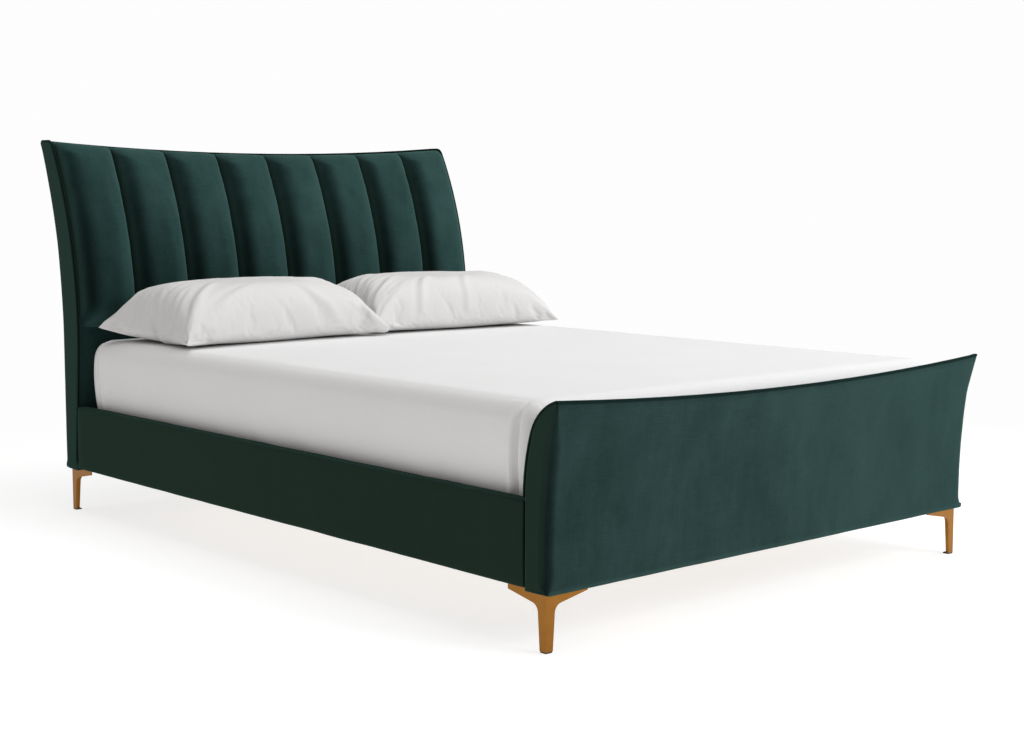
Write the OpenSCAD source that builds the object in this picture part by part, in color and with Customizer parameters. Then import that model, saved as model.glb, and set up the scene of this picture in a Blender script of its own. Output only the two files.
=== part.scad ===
// Upholstered double bed with a channelled headboard and a sleigh footboard.
// X runs across the bed, Y from the foot to the head, Z up from the floor.
// The origin is the middle of the overall box, on the floor.

/* [Mattress] */
// Width of the mattress
mattress_w = 1350; // [900:10:1830]
// Length of the mattress
mattress_l = 1890; // [1700:10:2200]
// Thickness of the mattress with its fitted sheet on
mattress_t = 245; // [190:5:300]
// Radius along the edges of the mattress
mattress_edge_r = 45; // [20:1:50]
// Gap between the mattress and each side rail
side_gap = 4; // [2:1:20]
// Gap between the mattress and the footboard
foot_gap = 3; // [2:1:40]
// Gap between the mattress and the most forward point of the headboard
head_gap = 3; // [2:1:40]
// How deep the mattress sits below the top of the side rails
mattress_sink = 55; // [20:1:80]

/* [Side rails] */
// Thickness of a side rail with its padding
rail_t = 36; // [28:1:50]
// Height of a side rail
rail_h = 179; // [150:1:240]
// Thickness of the timber inside a side rail
rail_core_t = 20; // [15:1:24]
// How far the rails hang above the bottom of the boards
rail_raise = 6; // [4:1:10]

/* [Headboard] */
// Height of the headboard at its two ends
head_h = 1057; // [950:1:1400]
// Thickness of the headboard at the bottom
head_t = 64; // [58:1:90]
// How far the top of the headboard flares backward
head_flare = 104; // [60:1:140]
// Height at which the back face starts to flare
head_bend_z = 500; // [400:10:560]
// How far the front leans forward below the mattress top
head_lean = 25; // [10:1:30]
// Height at which the front stops leaning forward
head_lean_z = 440; // [380:10:480]
// Radius of the curved front of the headboard
head_front_r = 1100; // [1000:10:1500]
// Radius over which the channels roll over the top
head_roll_r = 68; // [55:1:75]
// How much lower the top is in the middle than at the ends
head_dip = 27; // [10:1:40]
// Number of vertical channels
channel_n = 8; // [6:1:10]
// How far a channel crowns in front of the piping
channel_crown = 42; // [25:1:50]
// Radius of a channel across its width
channel_r = 105; // [100:1:160]

/* [Footboard] */
// Height of the footboard at its two ends
foot_h = 507; // [460:1:560]
// Thickness of the footboard at the bottom
foot_t = 63.5; // [58:0.5:80]
// How far the top of the footboard flares outward
foot_flare = 33; // [15:1:50]
// Height at which the outer face starts to flare
foot_bend_z = 170; // [150:1:220]
// Radius of the gentle curve on the inner face
foot_inner_r = 416; // [350:1:500]
// Angle where the gentle curve meets the roll
foot_roll_a = 18; // [14:1:20]
// Radius of the roll over the top
foot_roll_r = 103; // [90:1:115]
// How much lower the top is in the middle than at the ends
foot_dip = 25; // [10:1:35]

/* [Upholstery and boards] */
// Thickness of the wrapped cover with its wadding
cover_t = 8; // [5:1:12]
// Thickness of the pad on the inner face of each board
pad_t = 10; // [8:1:14]
// Thickness of the thin boards inside
skin_t = 4; // [3:1:6]
// Thickness of the ribs
rib_t = 18; // [15:1:22]
// Height of the rails inside the headboard and the footboard
board_rail_h = 70; // [50:1:80]
// Height of the bottom rail inside each board
bottom_rail_h = 128; // [120:1:132]
// Radius of the piping cord
piping_r = 3.5; // [2.5:0.5:4]

/* [Legs] */
// Height from the floor to the bottom of the boards
leg_h = 120; // [100:1:180]
// How far a leg stands in from the faces of the corner
leg_inset = 13; // [10:1:18]
// Length of each leg wing along the board
leg_wing = 115; // [95:1:130]
// Width of a leg wing at the floor
leg_foot_w = 19; // [15:1:22]
// Width of a leg wing above its taper
leg_shank_w = 24; // [22:1:28]
// Thickness of the leg metal
leg_wall = 4; // [3:0.5:5]
// Radius of the fillet under the wing
leg_fillet = 20; // [14:1:24]
// Depth of a wing at its tip
leg_tip = 7; // [6:1:10]
// Slope of the underside of a wing in degrees
leg_slope = 11; // [8:1:14]
// Thickness of the plastic glide under a leg
glide_t = 3; // [2:0.5:6]

/* [Slats] */
// Number of slats in each row
slat_n = 14; // [8:1:16]
// Width of a slat
slat_w = 53; // [40:1:60]
// Thickness of a slat
slat_t = 8; // [6:1:10]
// Rise of a slat in the middle
slat_bow = 12; // [6:1:14]
// Width of a slat ledger
ledger_w = 25; // [22:1:30]
// Height of a slat ledger
ledger_h = 36; // [25:1:40]
// Width of the centre rail
centre_rail_w = 60; // [44:1:70]
// Height of the centre rail
centre_rail_h = 40; // [30:1:50]
// Diameter of a centre leg
centre_leg_d = 38; // [30:1:50]
// Distance of each centre leg from the middle of the bed
centre_leg_y = 470; // [350:10:550]
// Diameter of the thread of a levelling foot
stud_d = 10; // [8:1:12]
// Diameter of the pad of a levelling foot
foot_pad_d = 40; // [34:1:50]

/* [Pillows] */
// Width of a pillow across the bed
pillow_w = 665; // [400:5:690]
// Depth of a pillow along the bed
pillow_d = 420; // [350:5:480]
// Thickness of a pillow
pillow_t = 160; // [110:1:180]
// Thickness of a pillow case
case_t = 2; // [1.5:0.5:4]

/* [Hidden] */

velvet = "#24423b";
piping_green = "#1b352f";
timber = "burlywood";
board = "tan";
gold = "#b07a34";
dark_plastic = "#26282a";
steel = "silver";
cotton = "whitesmoke";

// Widths: half the bed, and half the clear width between the rails
half_in = mattress_w/2 + side_gap;
half_w = half_in + rail_t;
half_core = half_w - cover_t;

// Lean of the headboard front below the mattress top, and the centre of the curve above it
lean_a = atan(head_lean/(head_lean_z - leg_h));
// The front curves more gently on a taller headboard, so the board keeps its thickness up to the top
head_curve_h = 1057;
front_r = head_front_r*((head_h - head_lean_z)/(head_curve_h - head_lean_z))^2;
curve_y = -head_t - head_lean + front_r*cos(lean_a);
curve_z = head_lean_z + front_r*sin(lean_a);
head_reach = front_r - curve_y;
back_r = ((head_h - head_bend_z)^2 + head_flare^2)/(2*head_flare);
head_dish_r = (half_w^2 + head_dip^2)/(2*head_dip);
foot_dish_r = (half_w^2 + foot_dip^2)/(2*foot_dip);

// Length: from the outer bottom edge of the footboard to the back bottom edge of the headboard
base_l = foot_t + foot_gap + mattress_l + head_gap + head_reach;
overall_l = foot_flare + base_l + head_flare;
foot_y = foot_flare - overall_l/2;
head_y = foot_y + base_l;
mattress_y0 = foot_y + foot_t + foot_gap;
mattress_y1 = mattress_y0 + mattress_l;

// Heights
rail_z0 = leg_h + rail_raise;
rail_z1 = rail_z0 + rail_h;
mattress_z0 = rail_z1 - mattress_sink;
mattress_z1 = mattress_z0 + mattress_t;
touch_gap = 0.3;
slat_top = mattress_z0 - touch_gap;
slat_end_z = slat_top - slat_bow - slat_t;
cap_base = 4;
ledger_top = slat_end_z - cap_base;

// Footboard curves: the outer flare, the gentle inner curve and the roll at the top
foot_out_r = ((foot_h - foot_bend_z)^2 + foot_flare^2)/(2*foot_flare);
foot_curve_y = foot_t - foot_inner_r;
roll_y = foot_curve_y + (foot_inner_r - foot_roll_r)*cos(foot_roll_a);
// The roll ends where it meets the flared outer face at the top
roll_end_a = acos((-foot_flare - roll_y)/foot_roll_r);
roll_z = foot_h - foot_roll_r*sin(roll_end_a);
foot_curve_z = roll_z - (foot_inner_r - foot_roll_r)*sin(foot_roll_a);

inner_pad_t = pad_t + 2;
foot_core_out = cover_t + skin_t;
foot_core_in = inner_pad_t + skin_t;
head_core_back = cover_t + skin_t;
head_core_front = pad_t + skin_t;
fit = 0.5;
far = 3000;
below = leg_h - 60;
dish_steps = 720;
sweep_margin = 0.2;
outline_n = 16;
curve_n = 8;
roll_n = 6;

channel_pitch = 2*(half_core - fit)/channel_n;
channel_full_z = mattress_z1 + 115;
channel_end_a = 53;
channel_end_r = 100;
channel_z0 = channel_full_z - channel_end_r*sin(channel_end_a);
valley_depth = 7;
valley_roll_r = 20;
valley_drop = 3;
strip_t = 12;
channel_u = 4;
end_n = 4;
side_roll_r = 26;
// The cord over the roll stops short of the cord along the top edge
cord_stop_a = 3;
cord_joint_a = 0.6;
// The side bands of the headboard cover end just under the top of the channels
head_cover_top = head_h - 2;

// Timber inside the boards
half_span = half_core - rib_t;
stud_pitch = half_core/2;
head_core_top = head_h - strip_t;
head_top_z = head_core_top - board_rail_h;
head_mid_z = mattress_z1 + 65;
foot_top_z = foot_h - 2*board_rail_h + foot_dip;
dish_fit = 0.5;

// Side rails run from board to board
rail_y0 = foot_y + foot_t + touch_gap;
rail_y1 = head_y + front_y(rail_z1, 0) - fit;

// Corner brackets
bracket_wall = 3;
bracket_reach = 42;
bracket_z0 = leg_h + 20;
bracket_h = 75;
bracket_foot_y = foot_y + foot_t + touch_gap;
bracket_head_y = head_y + front_y(bracket_z0 + bracket_h, 0) - fit;
bolt_d = 8;
bolt_fit = 0.3;
bolt_l = 44;
rail_bolt_l = rail_core_t + bracket_wall;
bolt_head_d = 13;
bolt_head_h = 5;
bolt_edge = 20;
bolt_x = 22;
bolt_y = 27;

// Centre rail and its legs
centre_y0 = foot_y + foot_t + bracket_wall + 2*touch_gap;
centre_y1 = head_y + front_y(ledger_top + head_dip, 0) - bracket_wall - 2*touch_gap;
centre_plate = 56;
centre_leg_z0 = 20;
nut_h = 12;
tube_wall = 2;
foot_pad_h = 8;
socket_h = 4;
stud_fit = 0.4;
stud_l = 60;
stud_slot = 2;

// Leg plate and screws
leg_plate = 48;
leg_plate_t = 3;
screw_d = 4;
screw_fit = 0.25;
screw_l = 22;
screw_head_d = 9;
screw_head_h = 2.5;
screw_x = 24;
screw_y = 10;
screw_pitch = 16;

// Slats and their caps
slat_margin = 80;
ledger_end = slat_margin - slat_w/2 - 8;
function slat_y(i) = mattress_y0 + slat_margin + (mattress_l - 2*slat_margin)*i/(slat_n - 1);
side_cap_l = 40;
side_cap_x = half_in - touch_gap - side_cap_l/2;
centre_cap_l = 78;
cap_wall = 3;
cap_w = slat_w + 2*fit + 2*cap_wall;
slot_z0 = slat_end_z - fit;
slot_h = slat_t + 4;
cap_h = cap_base + slot_h + cap_wall;
peg_d = 8;
peg_l = 12;
peg_fit = 0.2;

// Mattress layers
sheet_t = 1.5;
sheet_tuck = 170;
ticking_t = 10;
hollow_in = 26;
top_pad_t = 30;
base_pad_t = 15;
spring_pitch = 130;
spring_d = 112;
spring_wall = 5;

// Pillows
pillow_gap = 5;
pillow_shift = 15;
base_fill = 1.8;
pillow_seam_z = 46;
seam_half = 2;
pull_in = 0.07;

function arc(cy, cz, r, a0, a1, n) =
  [for (k = [0:n]) let (a = a0 + (a1 - a0)*k/n) [cy + r*cos(a), cz + r*sin(a)]];

// Headboard surfaces: distance along Y at height z, a depth d inside the board
function front_y(z, d) =
  z < head_lean_z + d*sin(lean_a)
    ? -head_t - (z - leg_h)*tan(lean_a) + d/cos(lean_a)
    : curve_y - sqrt((front_r - d)^2 - (z - curve_z)^2);
function back_y(z, d) =
  z < head_bend_z ? -d : back_r - sqrt((back_r + d)^2 - (z - head_bend_z)^2);
function front_line(z0, z1, d) =
  [for (k = [0:outline_n]) let (z = z0 + (z1 - z0)*k/outline_n) [front_y(z, d), z]];
function back_line(z0, z1, d) =
  [for (k = [0:outline_n]) let (z = z0 + (z1 - z0)*k/outline_n) [back_y(z, d), z]];
function head_outline(z0, z1, df, db) = concat(front_line(z0, z1, df), reversed(back_line(z0, z1, db)));
// The front surface from the elevation a0 on its curve, over a roll of radius rr, to the crest at height top
function crest_a(d, rr, top) = asin((top - rr - curve_z)/(front_r - d - rr));
function crest_line(d, rr, top, a0) =
  let (
    a1 = crest_a(d, rr, top),
    ry = curve_y - (front_r - d - rr)*cos(a1),
    rz = top - rr
  )
  concat(
    [for (k = [0:curve_n]) let (a = a0 + (a1 - a0)*k/curve_n)
      [curve_y - (front_r - d)*cos(a), curve_z + (front_r - d)*sin(a)]],
    [for (k = [1:roll_n]) let (a = a1 + (90 - a1)*k/roll_n) [ry - rr*cos(a), rz + rr*sin(a)]]
  );

// Footboard surfaces: the outer face at height z, and the inner face with its roll, a depth d inside
function outer_y(z, d) =
  z < foot_bend_z ? d : -foot_out_r + sqrt((foot_out_r + d)^2 - (z - foot_bend_z)^2);
function outer_line(z0, z1, d) =
  [for (k = [0:outline_n]) let (z = z0 + (z1 - z0)*k/outline_n) [outer_y(z, d), z]];
function inner_line(z0, d, a_end) = concat(
  [[foot_t - d, z0]],
  arc(foot_curve_y, foot_curve_z, foot_inner_r - d, 0, foot_roll_a, curve_n),
  [for (k = [1:roll_n]) let (a = foot_roll_a + (a_end - foot_roll_a)*k/roll_n)
    [roll_y + (foot_roll_r - d)*cos(a), roll_z + (foot_roll_r - d)*sin(a)]]
);
// Angle on the roll, a depth din inside, where it meets the outer face a depth dout inside
function meet_a(din, dout) =
  acos((outer_y(foot_h - din - dout/2, dout) - roll_y)/(foot_roll_r - din));
function roll_top(din, dout) = roll_z + (foot_roll_r - din)*sin(meet_a(din, dout));
function foot_outline(din, dout) = concat(
  outer_line(below, roll_top(din, dout), dout),
  reversed(inner_line(below, din, meet_a(din, dout) - 1))
);
function reversed(v) = [for (k = [len(v) - 1:-1:0]) v[k]];

// Sweeps an outline of [y, z] points sideways along a dished line, lower in the middle than at the ends
module dished(outline, h, dip, r, x0, x1, z0, z1) {
  sweep_a = asin(half_w/r) + sweep_margin;
  intersection() {
    translate([x0, -far, z0])
      cube([x1 - x0, 2*far, z1 - z0]);
    translate([0, 0, h - dip + r])
      rotate([0, 0, 90])
        rotate([0, 90, 0])
          rotate([0, 0, -sweep_a])
            rotate_extrude(angle = 2*sweep_a, $fn = dish_steps)
              polygon([for (p = outline) [h + r - p[1], p[0]]]);
  }
}

module head_part(outline, x0 = -half_core, x1 = half_core, z0 = leg_h, z1 = far) {
  translate([0, head_y, 0])
    dished(outline, head_h, head_dip, head_dish_r, x0, x1, z0, z1);
}

module foot_part(outline, x0 = -half_core, x1 = half_core, z0 = leg_h, z1 = far) {
  translate([0, foot_y, 0])
    dished(outline, foot_h, foot_dip, foot_dish_r, x0, x1, z0, z1);
}

// Headboard ----------------------------------------------------------------

module head_timber(x0, x1, z0, z1) {
  head_part(head_outline(below, head_core_top, head_core_front, head_core_back), x0, x1, z0, z1);
}

module headboard_ribs() {
  color(timber) {
    for (side = [-1, 1]) {
      x = side*(half_core - rib_t/2);
      head_timber(x - rib_t/2, x + rib_t/2, leg_h, far);
    }
    for (k = [-1:1], span = [[leg_h + bottom_rail_h, head_mid_z], [head_mid_z + board_rail_h, head_top_z]])
      head_timber(k*stud_pitch - rib_t/2, k*stud_pitch + rib_t/2, span[0], span[1]);
  }
}

module headboard_top_rail() {
  color(timber)
    head_timber(-half_span, half_span, head_top_z, far);
}

module headboard_mid_rail() {
  color(timber)
    head_timber(-half_span, half_span, head_mid_z, head_mid_z + board_rail_h);
}

module headboard_bottom_rail() {
  z1 = leg_h + bottom_rail_h;
  color(timber)
    difference() {
      translate([-half_span, head_y, 0])
        rotate([90, 0, 90])
          linear_extrude(2*half_span)
            polygon(head_outline(leg_h, z1, head_core_front + dish_fit, head_core_back));
      bracket_bolt_holes();
      leg_screw_holes();
    }
}

module headboard_face_board() {
  color(board)
    difference() {
      head_part(concat(
        front_line(below, head_core_top, pad_t),
        reversed(front_line(below, head_core_top, head_core_front))
      ));
      bracket_bolt_holes();
    }
}

module headboard_back_board() {
  color(board)
    head_part(concat(
      back_line(below, head_core_top, cover_t),
      reversed(back_line(below, head_core_top, head_core_back))
    ));
}

module headboard_lower_pad() {
  color(velvet)
    difference() {
      head_part(concat(
        front_line(below, channel_full_z, 0),
        reversed(front_line(below, channel_full_z, pad_t))
      ), z1 = channel_z0 - touch_gap);
      bracket_bolt_holes();
    }
}

// Lines of points up a channel: along its crown, along the seam beside it, and on the board behind it
function channel_crown_line() =
  let (
    a0 = asin((channel_full_z - curve_z)/(front_r + channel_crown)),
    y0 = curve_y - (front_r + channel_crown)*cos(a0)
  )
  concat(
    [for (k = [0:end_n - 1]) let (a = channel_end_a*(1 - k/end_n))
      [y0 + channel_end_r*(1 - cos(a)), channel_full_z - channel_end_r*sin(a)]],
    crest_line(-channel_crown, head_roll_r, head_h, a0),
    [[back_y(head_h, cover_t), head_h - valley_drop]]
  );
function channel_seam_line() =
  let (a0 = asin((channel_full_z - curve_z)/(front_r - valley_depth)))
  concat(
    [for (k = [0:end_n - 1]) let (z = channel_full_z - channel_end_r*sin(channel_end_a*(1 - k/end_n)))
      [front_y(z, valley_depth), z]],
    crest_line(valley_depth, valley_roll_r, head_h - valley_drop, a0),
    [[back_y(head_h, cover_t), head_h - valley_drop]]
  );
function channel_back_line() =
  let (
    z_arc = head_core_top - board_rail_h,
    y_top = front_y(head_core_top, pad_t),
    y_end = back_y(head_core_top, cover_t),
    rise = end_n + curve_n
  )
  concat(
    [for (k = [0:rise]) let (z = channel_z0 + (z_arc - channel_z0)*k/rise) [front_y(z, pad_t), z]],
    [for (k = [1:2]) let (z = z_arc + board_rail_h*k/2) [front_y(z, pad_t), z]],
    [for (k = [1:roll_n - 1]) [y_top + (y_end - y_top)*k/(roll_n - 1), head_core_top]]
  );
// The top edge dips in the middle; the dip fades out down to the straight lower end of the channels
function dish_z(x, z) =
  (head_dish_r - head_dip - sqrt(head_dish_r^2 - x^2))*(z - channel_z0)/(head_core_top - channel_z0);
function channel_height(u) =
  let (edge = sqrt(channel_r^2 - (channel_pitch/2)^2))
  (sqrt(channel_r^2 - (channel_pitch/2*u)^2) - edge)/(channel_r - edge);
// Triangles of a closed shell between two grids of points with rows of n_u + 1 points
function grid_faces(n_v, n_u) =
  let (row = n_u + 1, back = (n_v + 1)*row)
  concat(
    [for (i = [0:n_v - 1], j = [0:n_u - 1], t = [0, 1]) let (a = i*row + j)
      t == 0 ? [a, a + row, a + row + 1] : [a, a + row + 1, a + 1]],
    [for (i = [0:n_v - 1], j = [0:n_u - 1], t = [0, 1]) let (a = back + i*row + j)
      t == 0 ? [a, a + row + 1, a + row] : [a, a + 1, a + row + 1]],
    [for (i = [0:n_v - 1], j = [0, n_u], t = [0, 1]) let (a = i*row + j, b = back + a)
      j == 0
        ? (t == 0 ? [a, b, b + row] : [a, b + row, a + row])
        : (t == 0 ? [a, b + row, b] : [a, a + row, b + row])],
    [for (j = [0:n_u - 1], i = [0, n_v], t = [0, 1]) let (a = i*row + j, b = back + a)
      i == 0
        ? (t == 0 ? [a, b + 1, b] : [a, a + 1, b + 1])
        : (t == 0 ? [a, b, b + 1] : [a, b + 1, a + 1])]
  );

module headboard_channel(i) {
  crown = channel_crown_line();
  seam = channel_seam_line();
  back = channel_back_line();
  n_v = len(crown) - 1;
  steps = [for (k = [-channel_u:channel_u]) sin(90*k/channel_u)];
  x0 = -half_core + fit + channel_pitch*(i - 0.5);
  reach = channel_pitch/2 - touch_gap/2;
  front_points = [for (v = [0:n_v], u = steps)
    let (x = x0 + reach*u, p = seam[v] + channel_height(u)*(crown[v] - seam[v]))
      [x, p[0], p[1] + dish_z(x, p[1])]];
  back_points = [for (v = [0:n_v], u = steps)
    let (x = x0 + reach*u, p = back[v])
      [x, p[0] - touch_gap, p[1] + touch_gap + dish_z(x, p[1])]];
  color(velvet)
    translate([0, head_y, 0])
      polyhedron(concat(front_points, back_points), grid_faces(n_v, 2*channel_u));
}

module headboard_cover() {
  sides = concat(
    [[front_y(below, 0), below], [front_y(head_lean_z, 0), head_lean_z]],
    crest_line(0, side_roll_r, head_cover_top, -lean_a),
    reversed(back_line(below, head_cover_top, 0))
  );
  hollow = concat(
    [[-2*head_t - head_flare, below - fit], [-2*head_t - head_flare, head_h + head_dip]],
    reversed(back_line(below - fit, head_h + head_dip, cover_t))
  );
  color(velvet)
    difference() {
      head_part(sides, -half_w, half_w);
      translate([0, head_y, 0])
        dished(hollow, head_h, head_dip, head_dish_r, -half_core, half_core, leg_h - fit, far);
    }
}

// A round cord bent about an axis along X; angles are measured upward from the side that faces the foot
module cord_arc(cy, cz, r, a0, a1) {
  translate([0, cy, cz])
    rotate([-90, 0, 0])
      rotate([0, 90, 0])
        rotate([0, 0, -a1])
          rotate_extrude(angle = a1 - a0, $fn = dish_steps)
            translate([r, 0])
              circle(piping_r, $fn = 24);
}

module cord_rod(p, q) {
  reach = norm(q - p);
  translate([0, p[0], p[1]])
    rotate([-atan2(q[0] - p[0], q[1] - p[1]), 0, 0])
      cylinder(r = piping_r, h = reach, $fn = 24);
}

module cord_dish(y, h, dip, r) {
  sweep_a = asin((half_w - piping_r)/r);
  translate([0, y, h - dip + r])
    rotate([0, 0, 90])
      rotate([0, 90, 0])
        rotate([0, 0, -sweep_a])
          rotate_extrude(angle = 2*sweep_a, $fn = dish_steps)
            translate([r, 0])
              circle(piping_r, $fn = 24);
}

module headboard_piping() {
  proud = piping_r - touch_gap;
  top = head_cover_top + proud;
  rr = side_roll_r + proud;
  a1 = crest_a(-proud, rr, top);
  crest_y = curve_y - (front_r + proud - rr)*cos(a1);
  lean = [-sin(lean_a), cos(lean_a)];
  start = [front_y(rail_z1 + 2, -proud), rail_z1 + 2];
  bend = [curve_y, curve_z] - (front_r + proud)*[cos(lean_a), sin(lean_a)];
  color(piping_green)
    translate([0, head_y, 0]) {
      for (side = [-1, 1])
        translate([side*(half_w - piping_r), 0, 0]) {
          cord_rod(start, bend - touch_gap*lean);
          cord_arc(curve_y, curve_z, front_r + proud, -lean_a, a1);
          cord_arc(crest_y, top - rr, rr, a1 + cord_joint_a, 90);
          cord_rod([crest_y + touch_gap, top], [head_flare - 1.5*piping_r - touch_gap, top]);
        }
      cord_dish(head_flare - piping_r/2, top, head_dip, head_dish_r);
    }
}

// Footboard ----------------------------------------------------------------

module foot_timber(x0, x1, z0, z1) {
  foot_part(foot_outline(foot_core_in, foot_core_out), x0, x1, z0, z1);
}

module footboard_ribs() {
  color(timber) {
    for (side = [-1, 1]) {
      x = side*(half_core - rib_t/2);
      foot_timber(x - rib_t/2, x + rib_t/2, leg_h, foot_top_z);
    }
    for (k = [-1:1])
      foot_timber(k*stud_pitch - rib_t/2, k*stud_pitch + rib_t/2, leg_h + bottom_rail_h, foot_top_z);
  }
}

module footboard_top_rail() {
  color(timber)
    foot_timber(-half_core, half_core, foot_top_z, far);
}

module footboard_bottom_rail() {
  color(timber)
    difference() {
      intersection() {
        translate([-half_span, foot_y + foot_core_out, leg_h])
          cube([2*half_span, foot_t - foot_core_out - foot_core_in, bottom_rail_h]);
        foot_part(foot_outline(foot_core_in, foot_core_out));
      }
      bracket_bolt_holes();
      leg_screw_holes();
    }
}

module footboard_inner_board() {
  color(board)
    difference() {
      foot_part(concat(
        inner_line(below, inner_pad_t, meet_a(inner_pad_t, foot_core_out)),
        reversed(inner_line(below, foot_core_in, meet_a(foot_core_in, foot_core_out)))
      ));
      bracket_bolt_holes();
    }
}

module footboard_outer_board() {
  z1 = roll_top(inner_pad_t, foot_core_out) - skin_t;
  color(board)
    foot_part(concat(outer_line(below, z1, cover_t), reversed(outer_line(below, z1, foot_core_out))));
}

module footboard_inner_pad() {
  color(velvet)
    difference() {
      foot_part(concat(
        inner_line(below, 0, meet_a(0, cover_t)),
        reversed(inner_line(below, inner_pad_t, meet_a(inner_pad_t, cover_t)))
      ));
      bracket_bolt_holes();
    }
}

module footboard_cover() {
  hollow = concat(
    outer_line(below - fit, foot_h + foot_dip, cover_t),
    [[2*foot_t, foot_h + foot_dip], [2*foot_t, below - fit]]
  );
  color(velvet)
    difference() {
      foot_part(foot_outline(0, 0), -half_w, half_w);
      translate([0, foot_y, 0])
        dished(hollow, foot_h, foot_dip, foot_dish_r, -half_core, half_core, leg_h - fit, far);
    }
}

module footboard_piping() {
  proud = piping_r - touch_gap;
  // The cord starts where the board begins to curve, or just above the side rail if that is higher
  start_a = max(0, asin((rail_z1 + 2 + piping_r - foot_curve_z)/(foot_inner_r + proud)));
  color(piping_green)
    translate([0, foot_y, 0]) {
      for (side = [-1, 1])
        translate([side*(half_w - piping_r), 0, 0]) {
          cord_arc(foot_curve_y, foot_curve_z, foot_inner_r + proud, 180 - foot_roll_a, 180 - start_a);
          cord_arc(roll_y, roll_z, foot_roll_r + proud, 180 - roll_end_a + cord_stop_a, 180 - foot_roll_a);
        }
      cord_dish(-foot_flare + piping_r/2, foot_h + proud - 1, foot_dip, foot_dish_r);
    }
}

// Side rails ---------------------------------------------------------------

module rail_box(side, skin, clear) {
  reach = rail_t - 2*skin + 2*clear;
  x0 = side < 0 ? -half_w + skin - clear : half_w - skin + clear - reach;
  translate([x0, rail_y0 + rail_end_skin(skin) - clear, rail_z0 + skin - clear])
    cube([reach, rail_y1 - rail_y0 - 2*rail_end_skin(skin) + 2*clear, rail_h - 2*skin + 2*clear]);
}
function rail_end_skin(skin) = skin == 0 ? 0 : skin_t;

module rail_core(side) {
  color(timber)
    difference() {
      rail_box(side, (rail_t - rail_core_t)/2, 0);
      bracket_bolt_holes();
    }
}

module rail_cover(side) {
  color(velvet)
    difference() {
      rail_box(side, 0, 0);
      rail_box(side, (rail_t - rail_core_t)/2, 0);
      bracket_bolt_holes();
    }
}

module ledger(side) {
  color(timber)
    difference() {
      translate([side < 0 ? -half_in : half_in - ledger_w, mattress_y0 + ledger_end, ledger_top - ledger_h])
        cube([ledger_w, mattress_l - 2*ledger_end, ledger_h]);
      for (i = [0:slat_n - 1])
        translate([side*(half_in - ledger_w/2), slat_y(i), ledger_top - peg_l - fit])
          cylinder(d = peg_d + 2*peg_fit, h = peg_l + 1, $fn = 24);
    }
}

// Corner brackets and their bolts ------------------------------------------

// Places one corner's fittings at all four inner corners; local X and Y point to the middle of the bed
module at_inner_corners() {
  for (side = [-1, 1], end = [0, 1])
    translate([side*half_in, end == 0 ? bracket_foot_y : bracket_head_y, bracket_z0])
      mirror([side > 0 ? 1 : 0, 0, 0])
        mirror([0, end, 0])
          children();
}

// Two bolts run from each bracket into the board and two into the rail
module at_board_bolts() {
  for (z = [bolt_edge, bracket_h - bolt_edge])
    translate([bolt_x, bracket_wall, z])
      rotate([90, 0, 0])
        children();
}

module at_rail_bolts() {
  for (z = [bolt_edge, bracket_h - bolt_edge])
    translate([bracket_wall, bolt_y, z])
      rotate([0, -90, 0])
        children();
}

module bolt_hole(l) {
  translate([0, 0, -bracket_wall - 1])
    cylinder(d = bolt_d + 2*bolt_fit, h = l + bracket_wall + 2, $fn = 32);
}

module bolt(l) {
  cylinder(d = bolt_d, h = l, $fn = 32);
  translate([0, 0, -bolt_head_h])
    cylinder(d = bolt_head_d, h = bolt_head_h, $fn = 32);
}

module bracket_bolt_holes() {
  at_inner_corners() {
    at_board_bolts()
      bolt_hole(bolt_l);
    at_rail_bolts()
      bolt_hole(rail_bolt_l);
  }
}

module corner_brackets() {
  color(steel)
    at_inner_corners()
      difference() {
        union() {
          cube([bracket_reach, bracket_wall, bracket_h]);
          cube([bracket_wall, bracket_reach, bracket_h]);
        }
        at_board_bolts()
          bolt_hole(bracket_wall);
        at_rail_bolts()
          bolt_hole(bracket_wall);
      }
}

module bracket_bolts() {
  color(steel)
    at_inner_corners() {
      at_board_bolts()
        bolt(bolt_l);
      at_rail_bolts()
        bolt(rail_bolt_l);
    }
}

// Centre support -----------------------------------------------------------

module centre_rail() {
  color(timber)
    difference() {
      translate([-centre_rail_w/2, centre_y0, ledger_top - centre_rail_h])
        cube([centre_rail_w, centre_y1 - centre_y0, centre_rail_h]);
      for (i = [0:slat_n - 1], side = [-1, 1])
        translate([side*centre_rail_w/4, slat_y(i), ledger_top - peg_l - fit])
          cylinder(d = peg_d + 2*peg_fit, h = peg_l + 1, $fn = 24);
    }
}

module centre_rail_brackets() {
  w = centre_rail_w - 8;
  h = centre_rail_h + bracket_wall - 4;
  color(steel)
    for (end = [0, 1])
      translate([-w/2, end == 0 ? centre_y0 : centre_y1, ledger_top - centre_rail_h - bracket_wall])
        mirror([0, end, 0]) {
          cube([w, bracket_reach, bracket_wall]);
          translate([0, -bracket_wall - touch_gap, 0])
            cube([w, bracket_wall, h]);
          translate([0, -touch_gap, 0])
            cube([w, touch_gap, bracket_wall]);
        }
}

module centre_leg(y) {
  top = ledger_top - centre_rail_h;
  translate([0, y, 0])
    color(dark_plastic)
      difference() {
        union() {
          translate([-centre_plate/2, -centre_plate/2, top - bracket_wall])
            cube([centre_plate, centre_plate, bracket_wall]);
          translate([0, 0, centre_leg_z0])
            cylinder(d = centre_leg_d, h = top - centre_leg_z0 - 1, $fn = 48);
        }
        translate([0, 0, centre_leg_z0 + nut_h])
          cylinder(d = centre_leg_d - 2*tube_wall, h = top - bracket_wall - centre_leg_z0 - nut_h, $fn = 48);
        translate([0, 0, centre_leg_z0 - 1])
          cylinder(d = stud_d + 2*stud_fit, h = nut_h + 2, $fn = 48);
      }
}

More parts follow.
